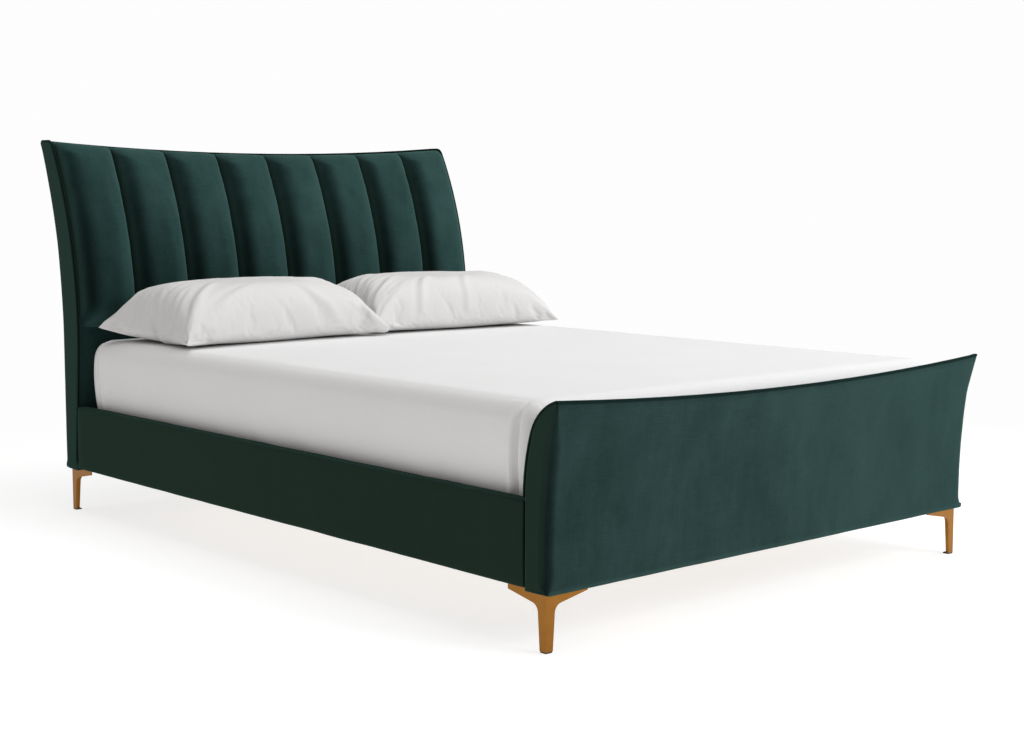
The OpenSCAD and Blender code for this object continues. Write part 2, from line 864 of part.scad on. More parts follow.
module foot_pad(y) {
  color(dark_plastic)
    translate([0, y, 0])
      difference() {
        cylinder(d = foot_pad_d, h = foot_pad_h, $fn = 48);
        translate([0, 0, foot_pad_h - socket_h])
          cylinder(d = stud_d + 2*stud_fit, h = socket_h + 1, $fn = 48);
      }
}

module foot_stud(y) {
  color(steel)
    translate([0, y, foot_pad_h - socket_h + touch_gap])
      difference() {
        cylinder(d = stud_d, h = stud_l, $fn = 48);
        translate([-stud_d, -stud_slot/2, stud_l - stud_slot])
          cube([2*stud_d, stud_slot, 2*stud_slot]);
      }
}

// Corner legs --------------------------------------------------------------

// Places one corner's pieces at the four legs; local X and Y run along the wings, away from the corner
module at_leg(side, end) {
  translate([side*(half_w - leg_inset), end == 0 ? foot_y + leg_inset : head_y - leg_inset, 0])
    mirror([side > 0 ? 1 : 0, 0, 0])
      mirror([0, end, 0])
        children();
}

module leg_wing_outline(step_x, step_h) {
  shank = leg_shank_w;
  web = leg_h - leg_tip - (leg_wing - shank - leg_fillet)*tan(leg_slope);
  cz = web - leg_fillet/cos(leg_slope);
  polygon(concat(
    [[0, glide_t], [leg_foot_w, glide_t]],
    [for (k = [0:roll_n]) let (a = 180 - (90 - leg_slope)*k/roll_n)
      [shank + leg_fillet + leg_fillet*cos(a), cz + leg_fillet*sin(a)]],
    [[leg_wing, leg_h - leg_tip], [leg_wing, leg_h + step_h], [step_x, leg_h + step_h]],
    [[step_x, leg_h], [0, leg_h]]
  ));
}

module leg(side, end) {
  board_edge = (end == 0 ? foot_t : head_t) - leg_inset + 1;
  color(gold)
    at_leg(side, end)
      difference() {
        union() {
          translate([0, leg_wall, 0])
            rotate([90, 0, 0])
              linear_extrude(leg_wall)
                leg_wing_outline(leg_wing - 1, 0);
          rotate([90, 0, 90])
            linear_extrude(leg_wall)
              leg_wing_outline(board_edge, rail_raise);
          translate([0, 0, leg_h - leg_plate_t])
            cube([leg_plate, leg_plate, leg_plate_t]);
        }
        leg_screw_places()
          translate([0, 0, -1])
            cylinder(d = screw_d + 2*screw_fit, h = leg_plate_t + 2, $fn = 24);
        // The outer edge between the two wings is rounded
        difference() {
          translate([-1, -1, 0])
            cube([leg_wall/2 + 1, leg_wall/2 + 1, leg_h + 1]);
          translate([leg_wall/2, leg_wall/2, -1])
            cylinder(d = leg_wall, h = leg_h + 3, $fn = 32);
        }
      }
}

module leg_screw_places() {
  for (x = [screw_x, screw_x + screw_pitch], y = [screw_y, screw_y + screw_pitch])
    translate([x, y, leg_h - leg_plate_t])
      children();
}

module leg_screw_holes() {
  for (side = [-1, 1], end = [0, 1])
    at_leg(side, end)
      leg_screw_places()
        cylinder(d = screw_d + 2*screw_fit, h = screw_l + 2, $fn = 24);
}

module leg_screws() {
  color(steel)
    for (side = [-1, 1], end = [0, 1])
      at_leg(side, end)
        leg_screw_places() {
          cylinder(d = screw_d, h = screw_l, $fn = 24);
          translate([0, 0, -screw_head_h])
            cylinder(d = screw_head_d, h = screw_head_h, $fn = 24);
        }
}

module leg_glides() {
  color(dark_plastic)
    for (side = [-1, 1], end = [0, 1])
      at_leg(side, end)
        translate([1, 1, 0])
          cube([leg_foot_w - 2, leg_foot_w - 2, glide_t]);
}

// Slats --------------------------------------------------------------------

module cap_body(w, pegs) {
  translate([-w/2, -cap_w/2, ledger_top])
    cube([w, cap_w, cap_h]);
  for (x = pegs)
    translate([x, 0, ledger_top - peg_l])
      cylinder(d = peg_d, h = peg_l + 1, $fn = 24);
}

module slat_side_caps() {
  color(dark_plastic)
    for (side = [-1, 1], i = [0:slat_n - 1])
      translate([side*side_cap_x, slat_y(i), 0])
        difference() {
          cap_body(side_cap_l, [side*(half_in - ledger_w/2 - side_cap_x)]);
          translate([-side_cap_l/2 - side*cap_wall, -slat_w/2 - fit, slot_z0])
            cube([side_cap_l, slat_w + 2*fit, slot_h]);
        }
}

module slat_centre_caps() {
  color(dark_plastic)
    for (i = [0:slat_n - 1])
      translate([0, slat_y(i), 0])
        difference() {
          cap_body(centre_cap_l, [-centre_rail_w/4, centre_rail_w/4]);
          for (side = [-1, 1])
            translate([side > 0 ? cap_wall/2 : -cap_wall/2 - centre_cap_l, -slat_w/2 - fit, slot_z0])
              cube([centre_cap_l, slat_w + 2*fit, slot_h]);
        }
}

module slat_row(side) {
  x_in = cap_wall/2 + 1;
  x_out = side_cap_x + side_cap_l/2 - cap_wall - 1;
  half_l = (x_out - x_in)/2;
  bow_r = (half_l^2 + slat_bow^2)/(2*slat_bow);
  a = asin(half_l/bow_r);
  color(timber)
    for (i = [0:slat_n - 1])
      translate([side*(x_in + half_l), slat_y(i) + slat_w/2, slat_top - bow_r])
        rotate([90, 0, 0])
          rotate([0, 0, 90 - a])
            rotate_extrude(angle = 2*a, $fn = dish_steps)
              translate([bow_r - slat_t, 0])
                square([slat_t, slat_w]);
}

// Mattress -----------------------------------------------------------------

function rounded_outline(hw, hl, r) = concat(
  arc(hw - r, hl - r, r, 0, 90, roll_n),
  arc(r - hw, hl - r, r, 90, 180, roll_n),
  arc(r - hw, r - hl, r, 180, 270, roll_n),
  arc(hw - r, r - hl, r, 270, 360, roll_n)
);

module soft_slab(inset) {
  hw = mattress_w/2 - inset;
  hl = mattress_l/2 - inset;
  hh = mattress_t/2 - inset;
  r = mattress_edge_r - inset;
  translate([0, (mattress_y0 + mattress_y1)/2, mattress_z0 + mattress_t/2])
    intersection() {
      translate([0, 0, -hh])
        linear_extrude(2*hh)
          polygon(rounded_outline(hw, hl, r));
      translate([0, hl, 0])
        rotate([90, 0, 0])
          linear_extrude(2*hl)
            polygon(rounded_outline(hw, hh, r));
      translate([-hw, 0, 0])
        rotate([90, 0, 90])
          linear_extrude(2*hw)
            polygon(rounded_outline(hl, hh, r));
    }
}

module slab_box(inset, z0, z1) {
  translate([-mattress_w/2 + inset, mattress_y0 + inset, z0])
    cube([mattress_w - 2*inset, mattress_l - 2*inset, z1 - z0]);
}

module fitted_sheet() {
  color(cotton)
    difference() {
      soft_slab(0);
      soft_slab(sheet_t);
      slab_box(sheet_tuck, mattress_z0 - 1, mattress_z0 + sheet_t + 1);
    }
}

module mattress_cover() {
  color(cotton)
    difference() {
      soft_slab(sheet_t + touch_gap);
      slab_box(hollow_in, mattress_z0 + ticking_t, mattress_z1 - ticking_t);
    }
}

module mattress_comfort_pads() {
  color("lightyellow") {
    slab_box(hollow_in, mattress_z1 - ticking_t - top_pad_t, mattress_z1 - ticking_t);
    slab_box(hollow_in, mattress_z0 + ticking_t, mattress_z0 + ticking_t + base_pad_t);
  }
}

module mattress_springs() {
  z0 = mattress_z0 + ticking_t + base_pad_t;
  h = mattress_t - 2*ticking_t - base_pad_t - top_pad_t;
  w = mattress_w - 2*hollow_in;
  l = mattress_l - 2*hollow_in;
  nx = floor(w/spring_pitch);
  ny = floor(l/spring_pitch);
  color(steel)
    for (i = [0:nx - 1], j = [0:ny - 1])
      translate([
        -w/2 + w*(i + 0.5)/nx,
        mattress_y0 + hollow_in + l*(j + 0.5)/ny,
        z0
      ])
        difference() {
          cylinder(d = spring_d, h = h, $fn = 24);
          translate([0, 0, -1])
            cylinder(d = spring_d - 2*spring_wall, h = h + 2, $fn = 24);
        }
}

// Pillows ------------------------------------------------------------------

// A plump closed cushion: its sides pull in between its corners and it is flatter underneath
module cushion(inset) {
  hw = pillow_w/2 - inset;
  hd = pillow_d/2 - inset;
  up = pillow_t - pillow_seam_z - inset;
  down = pillow_seam_z - inset;
  us = [for (k = [-6:6]) sin(15*k)];
  vs = [for (k = [-4:4]) sin(22.5*k)];
  top_points = [for (v = vs, u = us)
    cushion_point(u, v, hw, hd, max(up*puff(u, v), seam_half))];
  base_points = [for (v = vs, u = us)
    cushion_point(u, v, hw, hd, -max(down*min(1, base_fill*puff(u, v)), seam_half))];
  translate([0, 0, pillow_seam_z])
    polyhedron(concat(top_points, base_points), grid_faces(len(vs) - 1, len(us) - 1));
}
function puff(u, v) = sqrt((1 - u^4)*(1 - v^4));
function cushion_point(u, v, hw, hd, z) =
  [hw*u*(1 - pull_in*(1 - v^2)), hd*v*(1 - pull_in*(1 - u^2)), z];

module place_pillow(side) {
  translate([
    pillow_shift + side*(pillow_w + pillow_gap)/2,
    head_y - head_reach - channel_crown - pillow_gap - pillow_d/2,
    mattress_z1 + touch_gap
  ])
    children();
}

module pillow(side) {
  color("white")
    place_pillow(side)
      cushion(case_t + touch_gap);
}

module pillow_case(side) {
  color(cotton)
    place_pillow(side)
      difference() {
        cushion(0);
        cushion(case_t);
      }
}

headboard_ribs();
headboard_top_rail();
headboard_mid_rail();
headboard_bottom_rail();
headboard_face_board();
headboard_back_board();
headboard_lower_pad();
headboard_channel(1);  // headboard_channel_1
headboard_channel(2);  // headboard_channel_2
headboard_channel(3);  // headboard_channel_3
headboard_channel(4);  // headboard_channel_4
headboard_channel(5);  // headboard_channel_5
headboard_channel(6);  // headboard_channel_6
headboard_channel(7);  // headboard_channel_7
headboard_channel(8);  // headboard_channel_8
headboard_cover();
headboard_piping();
footboard_ribs();
footboard_top_rail();
footboard_bottom_rail();
footboard_inner_board();
footboard_outer_board();
footboard_inner_pad();
footboard_cover();
footboard_piping();
rail_core(-1);  // left_rail_core
rail_cover(-1);  // left_rail_cover
rail_core(1);  // right_rail_core
rail_cover(1);  // right_rail_cover
ledger(-1);  // left_ledger
ledger(1);  // right_ledger
centre_rail();
centre_rail_brackets();
centre_leg(-centre_leg_y);  // front_centre_leg
centre_leg(centre_leg_y);  // back_centre_leg
foot_pad(-centre_leg_y);  // front_foot_pad
foot_pad(centre_leg_y);  // back_foot_pad
foot_stud(-centre_leg_y);  // front_foot_stud
foot_stud(centre_leg_y);  // back_foot_stud
corner_brackets();
bracket_bolts();
leg(-1, 0);  // foot_left_leg
leg(1, 0);  // foot_right_leg
leg(-1, 1);  // head_left_leg
leg(1, 1);  // head_right_leg
leg_screws();
leg_glides();
slat_side_caps();
slat_centre_caps();
slat_row(-1);  // slats_left
slat_row(1);  // slats_right
fitted_sheet();
mattress_cover();
mattress_comfort_pads();
mattress_springs();
pillow(-1);  // left_pillow
pillow_case(-1);  // left_pillow_case
pillow(1);  // right_pillow
pillow_case(1);  // right_pillow_case
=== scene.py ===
import math

import bmesh
import bpy
from mathutils import Matrix, Vector, noise


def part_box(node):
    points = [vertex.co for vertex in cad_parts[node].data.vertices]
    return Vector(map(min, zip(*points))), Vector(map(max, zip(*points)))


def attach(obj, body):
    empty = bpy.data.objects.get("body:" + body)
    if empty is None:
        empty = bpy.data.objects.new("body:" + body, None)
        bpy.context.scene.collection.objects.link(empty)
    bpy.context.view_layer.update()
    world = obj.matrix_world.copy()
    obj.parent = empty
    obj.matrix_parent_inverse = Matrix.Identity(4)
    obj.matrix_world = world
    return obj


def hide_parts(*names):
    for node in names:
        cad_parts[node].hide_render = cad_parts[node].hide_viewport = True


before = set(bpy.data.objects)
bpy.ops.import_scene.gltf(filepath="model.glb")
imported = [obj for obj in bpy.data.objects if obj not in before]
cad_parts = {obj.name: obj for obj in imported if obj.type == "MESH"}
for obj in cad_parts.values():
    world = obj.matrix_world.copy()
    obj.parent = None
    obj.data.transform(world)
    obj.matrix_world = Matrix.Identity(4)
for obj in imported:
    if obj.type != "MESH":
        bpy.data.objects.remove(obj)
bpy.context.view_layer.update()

scene = bpy.context.scene
scene.view_settings.view_transform = "Standard"


# Studio ---------------------------------------------------------------------
# The bed stands on a plain pale floor under soft white light, brightest from above
# and from the foot end. The camera looks over the foot corner on the left.
def shade(tree, kind, inputs=None, **settings):
    """Adds one shader node; an input is given a value, or another node's output to link from."""
    node = tree.nodes.new("ShaderNode" + kind)
    for name, value in settings.items():
        setattr(node, name, value)
    for name, value in (inputs or {}).items():
        socket = node.inputs[name]
        if isinstance(value, bpy.types.NodeSocket):
            tree.links.new(value, socket)
        else:
            socket.default_value = value
    return node


def mix_colours(tree, share, first, second):
    return shade(tree, "Mix", {"Factor": share, "A": first, "B": second}, data_type="RGBA").outputs["Result"]


def ramp(tree, value, start, end, low=0.0, high=1.0, **settings):
    """Turns a value between start and end into one between low and high."""
    return shade(tree, "MapRange", {"Value": value, "From Min": start, "From Max": end, "To Min": low,
                                    "To Max": high}, **settings).outputs["Result"]


def new_material(name):
    """Starts a material with only its output node."""
    material = bpy.data.materials.new(name)
    material.use_nodes = True
    tree = material.node_tree
    tree.nodes.clear()
    return material, tree, tree.nodes.new("ShaderNodeOutputMaterial")


def set_surface(tree, out, inputs):
    """Closes a material with its one shader."""
    shader = shade(tree, "BsdfPrincipled", inputs)
    tree.links.new(shader.outputs[0], out.inputs["Surface"])


def add_softbox(name, place, aim, width, height, power):
    light = bpy.data.lights.new(name, "AREA")
    light.shape = "RECTANGLE"
    light.size, light.size_y, light.energy = width, height, power
    light.color = (0.97, 0.985, 1.0)
    lamp = bpy.data.objects.new(name, light)
    lamp.location = place
    lamp.rotation_euler = (Vector(aim) - Vector(place)).to_track_quat("-Z", "Y").to_euler()
    scene.collection.objects.link(lamp)


camera_dip, camera_heading = 5.989, 41.369
camera = bpy.data.objects.new("camera", bpy.data.cameras.new("camera"))
camera.data.sensor_width, camera.data.lens = 36.0, 58.193
camera.data.clip_start, camera.data.clip_end = 0.1, 100.0
camera.location = (-2.8722, -3.4109, 0.9123)
camera.rotation_euler = (math.radians(90 - camera_dip), 0, math.radians(-camera_heading))
scene.collection.objects.link(camera)
scene.camera = camera

# The room gives the bed a weak, slightly warm light, but is itself seen as near white
room_light, backdrop_white = 0.34, 0.985
world = bpy.data.worlds.new("studio")
world.use_nodes = True
tree = world.node_tree
sky = tree.nodes["Background"].inputs
seen = shade(tree, "LightPath").outputs["Is Camera Ray"]
tree.links.new(ramp(tree, seen, 0.0, 1.0, room_light, backdrop_white), sky["Strength"])
tree.links.new(mix_colours(tree, seen, (1.0, 0.96, 0.935, 1), (1, 1, 1, 1)), sky["Color"])
scene.world = world
add_softbox("key", (1.6, -4.6, 3.0), (0, -0.2, 0.5), 2.6, 2.2, 120)
add_softbox("top", (0.2, 0.1, 4.2), (0, 0, 0.4), 3.2, 3.2, 80)
add_softbox("right", (4.4, -1.6, 2.2), (0.2, 0.2, 0.6), 1.6, 2.6, 60)

# The floor glows, though it is no lamp: a painted glow lights the bed faintly from below, and where the
# camera sees it, it lifts the soft shadows near the bed and runs out to plain white farther away
shadows_end, white_start, near_glow = 1.0, 2.9, 0.46
floor_material, tree, out = new_material("studio floor")
paint = shade(tree, "TexNoise", {"Scale": 3.0, "Detail": 4.0}).outputs["Fac"]
tint = mix_colours(tree, paint, (0.90, 0.90, 0.90, 1), (0.93, 0.93, 0.93, 1))
spot = shade(tree, "TexCoord").outputs["Object"]
away = shade(tree, "VectorMath", {0: spot}, operation="LENGTH").outputs["Value"]
away = ramp(tree, away, shadows_end, white_start, interpolation_type="SMOOTHSTEP", clamp=True)
seen = shade(tree, "LightPath").outputs["Is Camera Ray"]
# Seen by the camera, the painted glow lifts the shadows near the bed
even = shade(tree, "Math", {0: away, 1: 0.5}, operation="MAXIMUM").outputs[0]
plain = shade(tree, "Math", {0: even, 1: seen}, operation="MULTIPLY").outputs[0]
glow = ramp(tree, plain, 0.0, 1.0, near_glow, backdrop_white)
set_surface(tree, out, {
    "Base Color": mix_colours(tree, plain, tint, (0, 0, 0, 1)), "Roughness": 0.9, "Specular IOR Level": 0.0,
    "Emission Color": (1, 1, 1, 1), "Emission Strength": glow})
bm = bmesh.new()
bmesh.ops.create_grid(bm, x_segments=2, y_segments=2, size=25)
floor_mesh = bpy.data.meshes.new("studio_floor")
bm.to_mesh(floor_mesh)
bm.free()
floor = bpy.data.objects.new("studio_floor", floor_mesh)
floor_mesh.materials.append(floor_material)
scene.collection.objects.link(floor)


# Headboard cover --------------------------------------------------------------
# A timber box wrapped in short-pile dark green velvet over thin wadding: plain side bands
# and a plain back, leaning and curved backward, with a top edge that dips in the middle.
def new_effect(name, inputs, outputs):
    """Starts a shader node group with named sockets; colours are given as 4 numbers, values as 1."""
    group = bpy.data.node_groups.new(name, "ShaderNodeTree")
    for label, value in inputs.items():
        kind = "NodeSocketColor" if isinstance(value, tuple) else "NodeSocketFloat"
        group.interface.new_socket(label, in_out="INPUT", socket_type=kind).default_value = value
    for label in outputs:
        kind = "NodeSocketColor" if label == "Color" else "NodeSocketFloat"
        group.interface.new_socket(label, in_out="OUTPUT", socket_type=kind)
    return group, group.nodes.new("NodeGroupInput").outputs, group.nodes.new("NodeGroupOutput").inputs


def speckle(tree, places, scale, detail):
    return shade(tree, "TexNoise", {"Vector": places, "Scale": scale, "Detail": detail}).outputs["Fac"]


def math_node(tree, operation, first, second=0.0, third=0.0, clamp=False):
    node = shade(tree, "Math", operation=operation, use_clamp=clamp)
    for socket, value in zip(node.inputs, (first, second, third)):
        if isinstance(value, bpy.types.NodeSocket):
            tree.links.new(value, socket)
        else:
            socket.default_value = value
    return node.outputs[0]


def stretched_noise(tree, places, stretch, scale, detail=2.0, rough=0.5):
    """Noise drawn out along the axes where stretch is small."""
    turned = shade(tree, "Mapping", {"Vector": places, "Scale": stretch})
    return shade(tree, "TexNoise", {"Vector": turned.outputs["Vector"], "Scale": scale, "Detail": detail,
                                    "Roughness": rough}).outputs["Fac"]


# Pile brushed into soft patches, over threads that run up and across
pile, given, made = new_effect(
    "velvet pile",
    {"Deep": (0.01, 0.03, 0.025, 1), "Lit": (0.03, 0.07, 0.06, 1), "Patches": 1.0, "Threads": 0.5},
    ("Color", "Roughness", "Height"))
spot = shade(pile, "TexCoord").outputs["Object"]
thread_scale, nap_scale = 560.0, 1100.0
patch = stretched_noise(pile, spot, (1.0, 1.0, 0.7), 5.5, 4.0, 0.6)
brush = stretched_noise(pile, spot, (1.0, 1.0, 0.22), 34.0, 3.0, 0.6)
warp = stretched_noise(pile, spot, (1.0, 1.0, 0.05), thread_scale, 2.0)
weft = stretched_noise(pile, spot, (0.05, 0.05, 1.0), thread_scale, 2.0)
nap = speckle(pile, spot, nap_scale, 2.0)
cloudy = math_node(pile, "MULTIPLY_ADD", math_node(pile, "SUBTRACT", patch, 0.5), given["Patches"], 0.5)
cloudy = math_node(pile, "MULTIPLY_ADD", math_node(pile, "SUBTRACT", brush, 0.5), 0.6, cloudy)
threads = math_node(pile, "SUBTRACT", math_node(pile, "ADD", warp, weft), 1.0)
toned = math_node(pile, "MULTIPLY_ADD", threads, given["Threads"], cloudy)
toned = math_node(pile, "MULTIPLY_ADD", math_node(pile, "SUBTRACT", nap, 0.5), 0.35, toned, clamp=True)
height = math_node(pile, "MULTIPLY_ADD", threads, 0.5, math_node(pile, "MULTIPLY", nap, 0.5))
pile.links.new(mix_colours(pile, toned, given["Deep"], given["Lit"]), made["Color"])
pile.links.new(math_node(pile, "MULTIPLY_ADD", patch, 0.25, 0.62), made["Roughness"])
pile.links.new(height, made["Height"])

# Painted light in the velvet's colour: painted shade seen straight on, painted sheen seen at a low angle, and
# painted shade on faces turned to the left; pile_sheen only tints the shader's own sheen
painted_facing_shade, painted_grazing_sheen = (0.0012, 0.0028, 0.0026, 1), (0.040, 0.082, 0.076, 1)
painted_left_shade, pile_sheen = (0.0155, 0.029, 0.0205, 1), (0.20, 0.40, 0.35, 1)


def velvet(name, deep, lit, patches=1.2, threads=0.5, sheen=0.4, glance=0.1, sink=0.85):
    """Short pile, with painted light in its colour: sink is how far a painted shade darkens it where it is
    seen straight on, glance how far a painted sheen pales it at a low angle.
    Faces turned to the left get a darker, greener painted shade, for the weaker light on that side."""
    material, tree, out = new_material(name)
    nap = shade(tree, "Group", node_tree=pile)
    for label, value in (("Deep", deep), ("Lit", lit), ("Patches", patches), ("Threads", threads)):
        nap.inputs[label].default_value = value
    relief = shade(tree, "Bump", {"Strength": 0.35, "Distance": 0.0006, "Height": nap.outputs["Height"]})
    turned = shade(tree, "LayerWeight", {"Blend": 0.5}).outputs["Facing"]
    normal = shade(tree, "NewGeometry").outputs["Normal"]
    leftward = shade(tree, "SeparateXYZ", {"Vector": normal}).outputs["X"]
    # Painted shade straight on, painted sheen at a low angle, painted shade on left-facing faces
    facing_shade_share = ramp(tree, turned, 0.0, 0.23, sink, 0.0)
    grazing_sheen_share = ramp(tree, turned, 0.22, 0.5, 0.0, glance)
    left_shade_share = ramp(tree, leftward, -0.97, -0.75, 0.8, 0.0)
    colour = mix_colours(tree, facing_shade_share, nap.outputs["Color"], painted_facing_shade)
    colour = mix_colours(tree, grazing_sheen_share, colour, painted_grazing_sheen)
    colour = mix_colours(tree, left_shade_share, colour, painted_left_shade)
    set_surface(tree, out, {
        "Base Color": colour, "Roughness": nap.outputs["Roughness"], "Normal": relief.outputs["Normal"],
        "Specular IOR Level": 0.0, "Sheen Weight": sheen, "Sheen Roughness": 0.4, "Sheen Tint": pile_sheen})
    return material


head_velvet = velvet("headboard velvet", deep=(0.013, 0.033, 0.030, 1), lit=(0.032, 0.072, 0.067, 1))

cover_low, cover_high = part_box("headboard_cover")
bed_half = cover_high.x
board_bottom = cover_low.z
head_top = cover_high.z + 0.002
head_thick, head_lean, lean_top = 0.064, 0.025, 0.44
head_flare, flare_bottom, head_dip = 0.104, 0.5, 0.027
front_radius, side_roll, head_cover_drop = 1.1, 0.026, 0.0016
corner_zone = 0.03
head_y = cover_high.y - head_flare
lean_angle = math.atan2(head_lean, lean_top - board_bottom)
curve_y = -head_thick - head_lean + front_radius * math.cos(lean_angle)
curve_z = lean_top + front_radius * math.sin(lean_angle)
back_radius = ((head_top - flare_bottom) ** 2 + head_flare ** 2) / (2 * head_flare)


def head_front(z, depth=0.0):
    """Distance along Y from the headboard's back bottom edge to its front, at height z."""
    if z < lean_top + depth * math.sin(lean_angle):
        return -head_thick - (z - board_bottom) * math.tan(lean_angle) + depth / math.cos(lean_angle)
    return curve_y - math.sqrt((front_radius - depth) ** 2 - (z - curve_z) ** 2)


def head_back(z, depth=0.0):
    if z < flare_bottom:
        return -depth
    return back_radius - math.sqrt((back_radius + depth) ** 2 - (z - flare_bottom) ** 2)


def spread(start, end, count):
    return [start + (end - start) * k / count for k in range(count + 1)]


def dip_at(x, dip):
    """Height of a dipped top edge at x across the bed, from its two ends: 0 there and -dip in the middle."""
    dip_radius = (bed_half ** 2 + dip ** 2) / (2 * dip)
    return dip_radius - dip - math.sqrt(dip_radius ** 2 - x * x)


def crest(depth, roll, top, first, steps, roll_steps):
    """The front from the angle first on its curve, then a roll of radius roll up to the height top."""
    radius = front_radius - depth
    last = math.asin((top - roll - curve_z) / (radius - roll))
    roll_y, roll_z = curve_y - (radius - roll) * math.cos(last), top - roll
    line = [(curve_y - radius * math.cos(a), curve_z + radius * math.sin(a))
            for a in spread(first, last, steps)]
    return line + [(roll_y - roll * math.cos(a), roll_z + roll * math.sin(a))
                   for a in spread(last, math.pi / 2, roll_steps)[1:]]


def wrapped_board(name, outline, turns, dip, flat_below, top, base_y):
    """A closed padded board: its outline is carried across the bed, drawn in over the side corners by the
    radius turns gives for each point, and lowered in the middle by dip above the height flat_below."""
    bm = bmesh.new()
    point = bm.verts.layers.int.new("point")
    station = bm.verts.layers.int.new("station")
    corners = [bm.verts.new((0, y, z)) for y, z in outline]
    for k, v in enumerate(corners):
        v[point] = k
    face = bm.faces.new(corners)
    bends = [math.radians(a) for a in (90, 70, 50, 30, 12, 0)]
    middle = spread(-bed_half + corner_zone, bed_half - corner_zone, 96)
    places = [(-1, a) for a in bends] + [(0, x) for x in middle] + [(1, a) for a in reversed(bends)]
    for k in range(1, len(places)):
        parts = bmesh.ops.extrude_face_region(bm, geom=[face])["geom"]
        if k > 1:
            bmesh.ops.delete(bm, geom=[face], context="FACES_ONLY")
        face = next(part for part in parts if isinstance(part, bmesh.types.BMFace))
        for v in face.verts:
            v[station] = k
    count = len(outline)
    inward = []
    for k in range(count):
        before, after = outline[k - 1], outline[(k + 1) % count]
        along = Vector((after[0] - before[0], after[1] - before[1])).normalized()
        inward.append(Vector((along.y, -along.x)))
    for v in bm.verts:
        y, z = outline[v[point]]
        side, value = places[v[station]]
        radius = turns[v[point]]
        x = value if side == 0 else side * (bed_half - radius * (1 - math.sin(value)))
        drawn = 0.0 if side == 0 else radius * (1 - math.cos(value))
        y += inward[v[point]].x * drawn
        z += inward[v[point]].y * drawn
        z += dip_at(x, dip) * min(1.0, max(0.0, (z - flat_below) / (top - flat_below)))
        v.co = (x, base_y + y, z)
    bmesh.ops.recalc_face_normals(bm, faces=bm.faces)
    piece = finish_mesh(bm, name)
    mesh = piece.data
    # The two many-sided end faces are flat, so they keep a sharp rim
    for cap in (f for f in mesh.polygons if len(f.vertices) > 8):
        cap.use_smooth = False
        for loop in cap.loop_indices:
            mesh.edges[mesh.loops[loop].edge_index].use_edge_sharp = True
    return piece


def finish_mesh(bm, name):
    mesh = bpy.data.meshes.new(name)
    bm.to_mesh(mesh)
    bm.free()
    mesh.shade_smooth()
    piece = bpy.data.objects.new(name, mesh)
    scene.collection.objects.link(piece)
    return piece


def fit_out(piece, material, body, slot, *nodes):
    """Gives a finished piece its material and its body, and hides the nodes it stands for. The slot is not
    used.
    """
    piece.data.materials.clear()
    piece.data.materials.append(material)
    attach(piece, body)
    if nodes:
        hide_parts(*nodes)


def with_normals(piece):
    """Each vertex with its normal, all read before any vertex moves."""
    return list(zip(piece.data.vertices, [v.normal.copy() for v in piece.data.vertices]))


def soften(piece, scale, height, seed):
    """Gives fabric the slight unevenness of the wadding under it."""
    for v, outward in with_normals(piece):
        lift = noise.noise(v.co * scale + Vector((seed, 0, 0))) + 0.5 * noise.noise(v.co * scale * 2.3)
        v.co += outward * lift * height


cover_top = head_top - head_cover_drop
front_up = [(head_front(z), z) for z in spread(board_bottom, lean_top, 10)[:-1]]
over = crest(0.0, side_roll, cover_top, -lean_angle, 26, 7)
back_down = [(head_back(z), z) for z in spread(cover_top, board_bottom, 36)]
head_outline = front_up + over + back_down
front_turn, top_turn, back_turn = 0.005, 0.002, 0.013
head_turns = [front_turn] * len(front_up) + [top_turn] * len(over)
head_turns += [min(back_turn, top_turn + 0.001 * k) for k in range(len(back_down))]
headboard_cover = wrapped_board("headboard_cover_velvet", head_outline, head_turns, head_dip, flat_below=0.3,
                                top=head_top, base_y=head_y)
soften(headboard_cover, scale=9.0, height=0.0004, seed=3.0)
fit_out(headboard_cover, head_velvet, "frame", "headboard_velvet", "headboard_cover")


# Headboard channels -----------------------------------------------------------
# Upright rolls of velvet over wadding, sewn down between each other. They start above the
# mattress in a rounded end, follow the curve of the board and roll over its top edge.
channel_crown, valley_depth = 0.042, 0.009
head_roll, valley_roll, valley_drop, cover_thick = 0.068, 0.02, 0.003, 0.008
full_above_mattress, end_angle, end_radius = 0.115, math.radians(53), 0.1
pad_depth, strip_depth = 0.010, 0.012
crown_pucker, seam_pucker, looseness = 0.0006, 0.0022, 0.002
channel_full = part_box("fitted_sheet")[1].z + full_above_mattress
channel_bottom = channel_full - end_radius * math.sin(end_angle)
rise, arc_steps, roll_steps = 10, 40, 14

top_end = (head_back(head_top, cover_thick), head_top - valley_drop)
crown_first = math.asin((channel_full - curve_z) / (front_radius + channel_crown))
crown_y = curve_y - (front_radius + channel_crown) * math.cos(crown_first)
crown_line = [(crown_y + end_radius * (1 - math.cos(a)), channel_full - end_radius * math.sin(a))
              for a in spread(end_angle, 0, rise)[:-1]]
crown_line += crest(-channel_crown, head_roll, head_top, crown_first, arc_steps, roll_steps) + [top_end]
seam_line = [(head_front(z, valley_depth), z) for _, z in crown_line[:rise]]
seam_line += crest(valley_depth, valley_roll, head_top - valley_drop,
                   math.asin((channel_full - curve_z) / (front_radius - valley_depth)), arc_steps, roll_steps)
seam_line += [top_end]
board_top = head_top - strip_depth
across, up = 40, len(crown_line) - 1


def bulge(u):
    """Height of a channel's section at u, from -1 to 1 across it: full in the middle, steep at the seams."""
    return (1 - u ** 4) ** 0.6


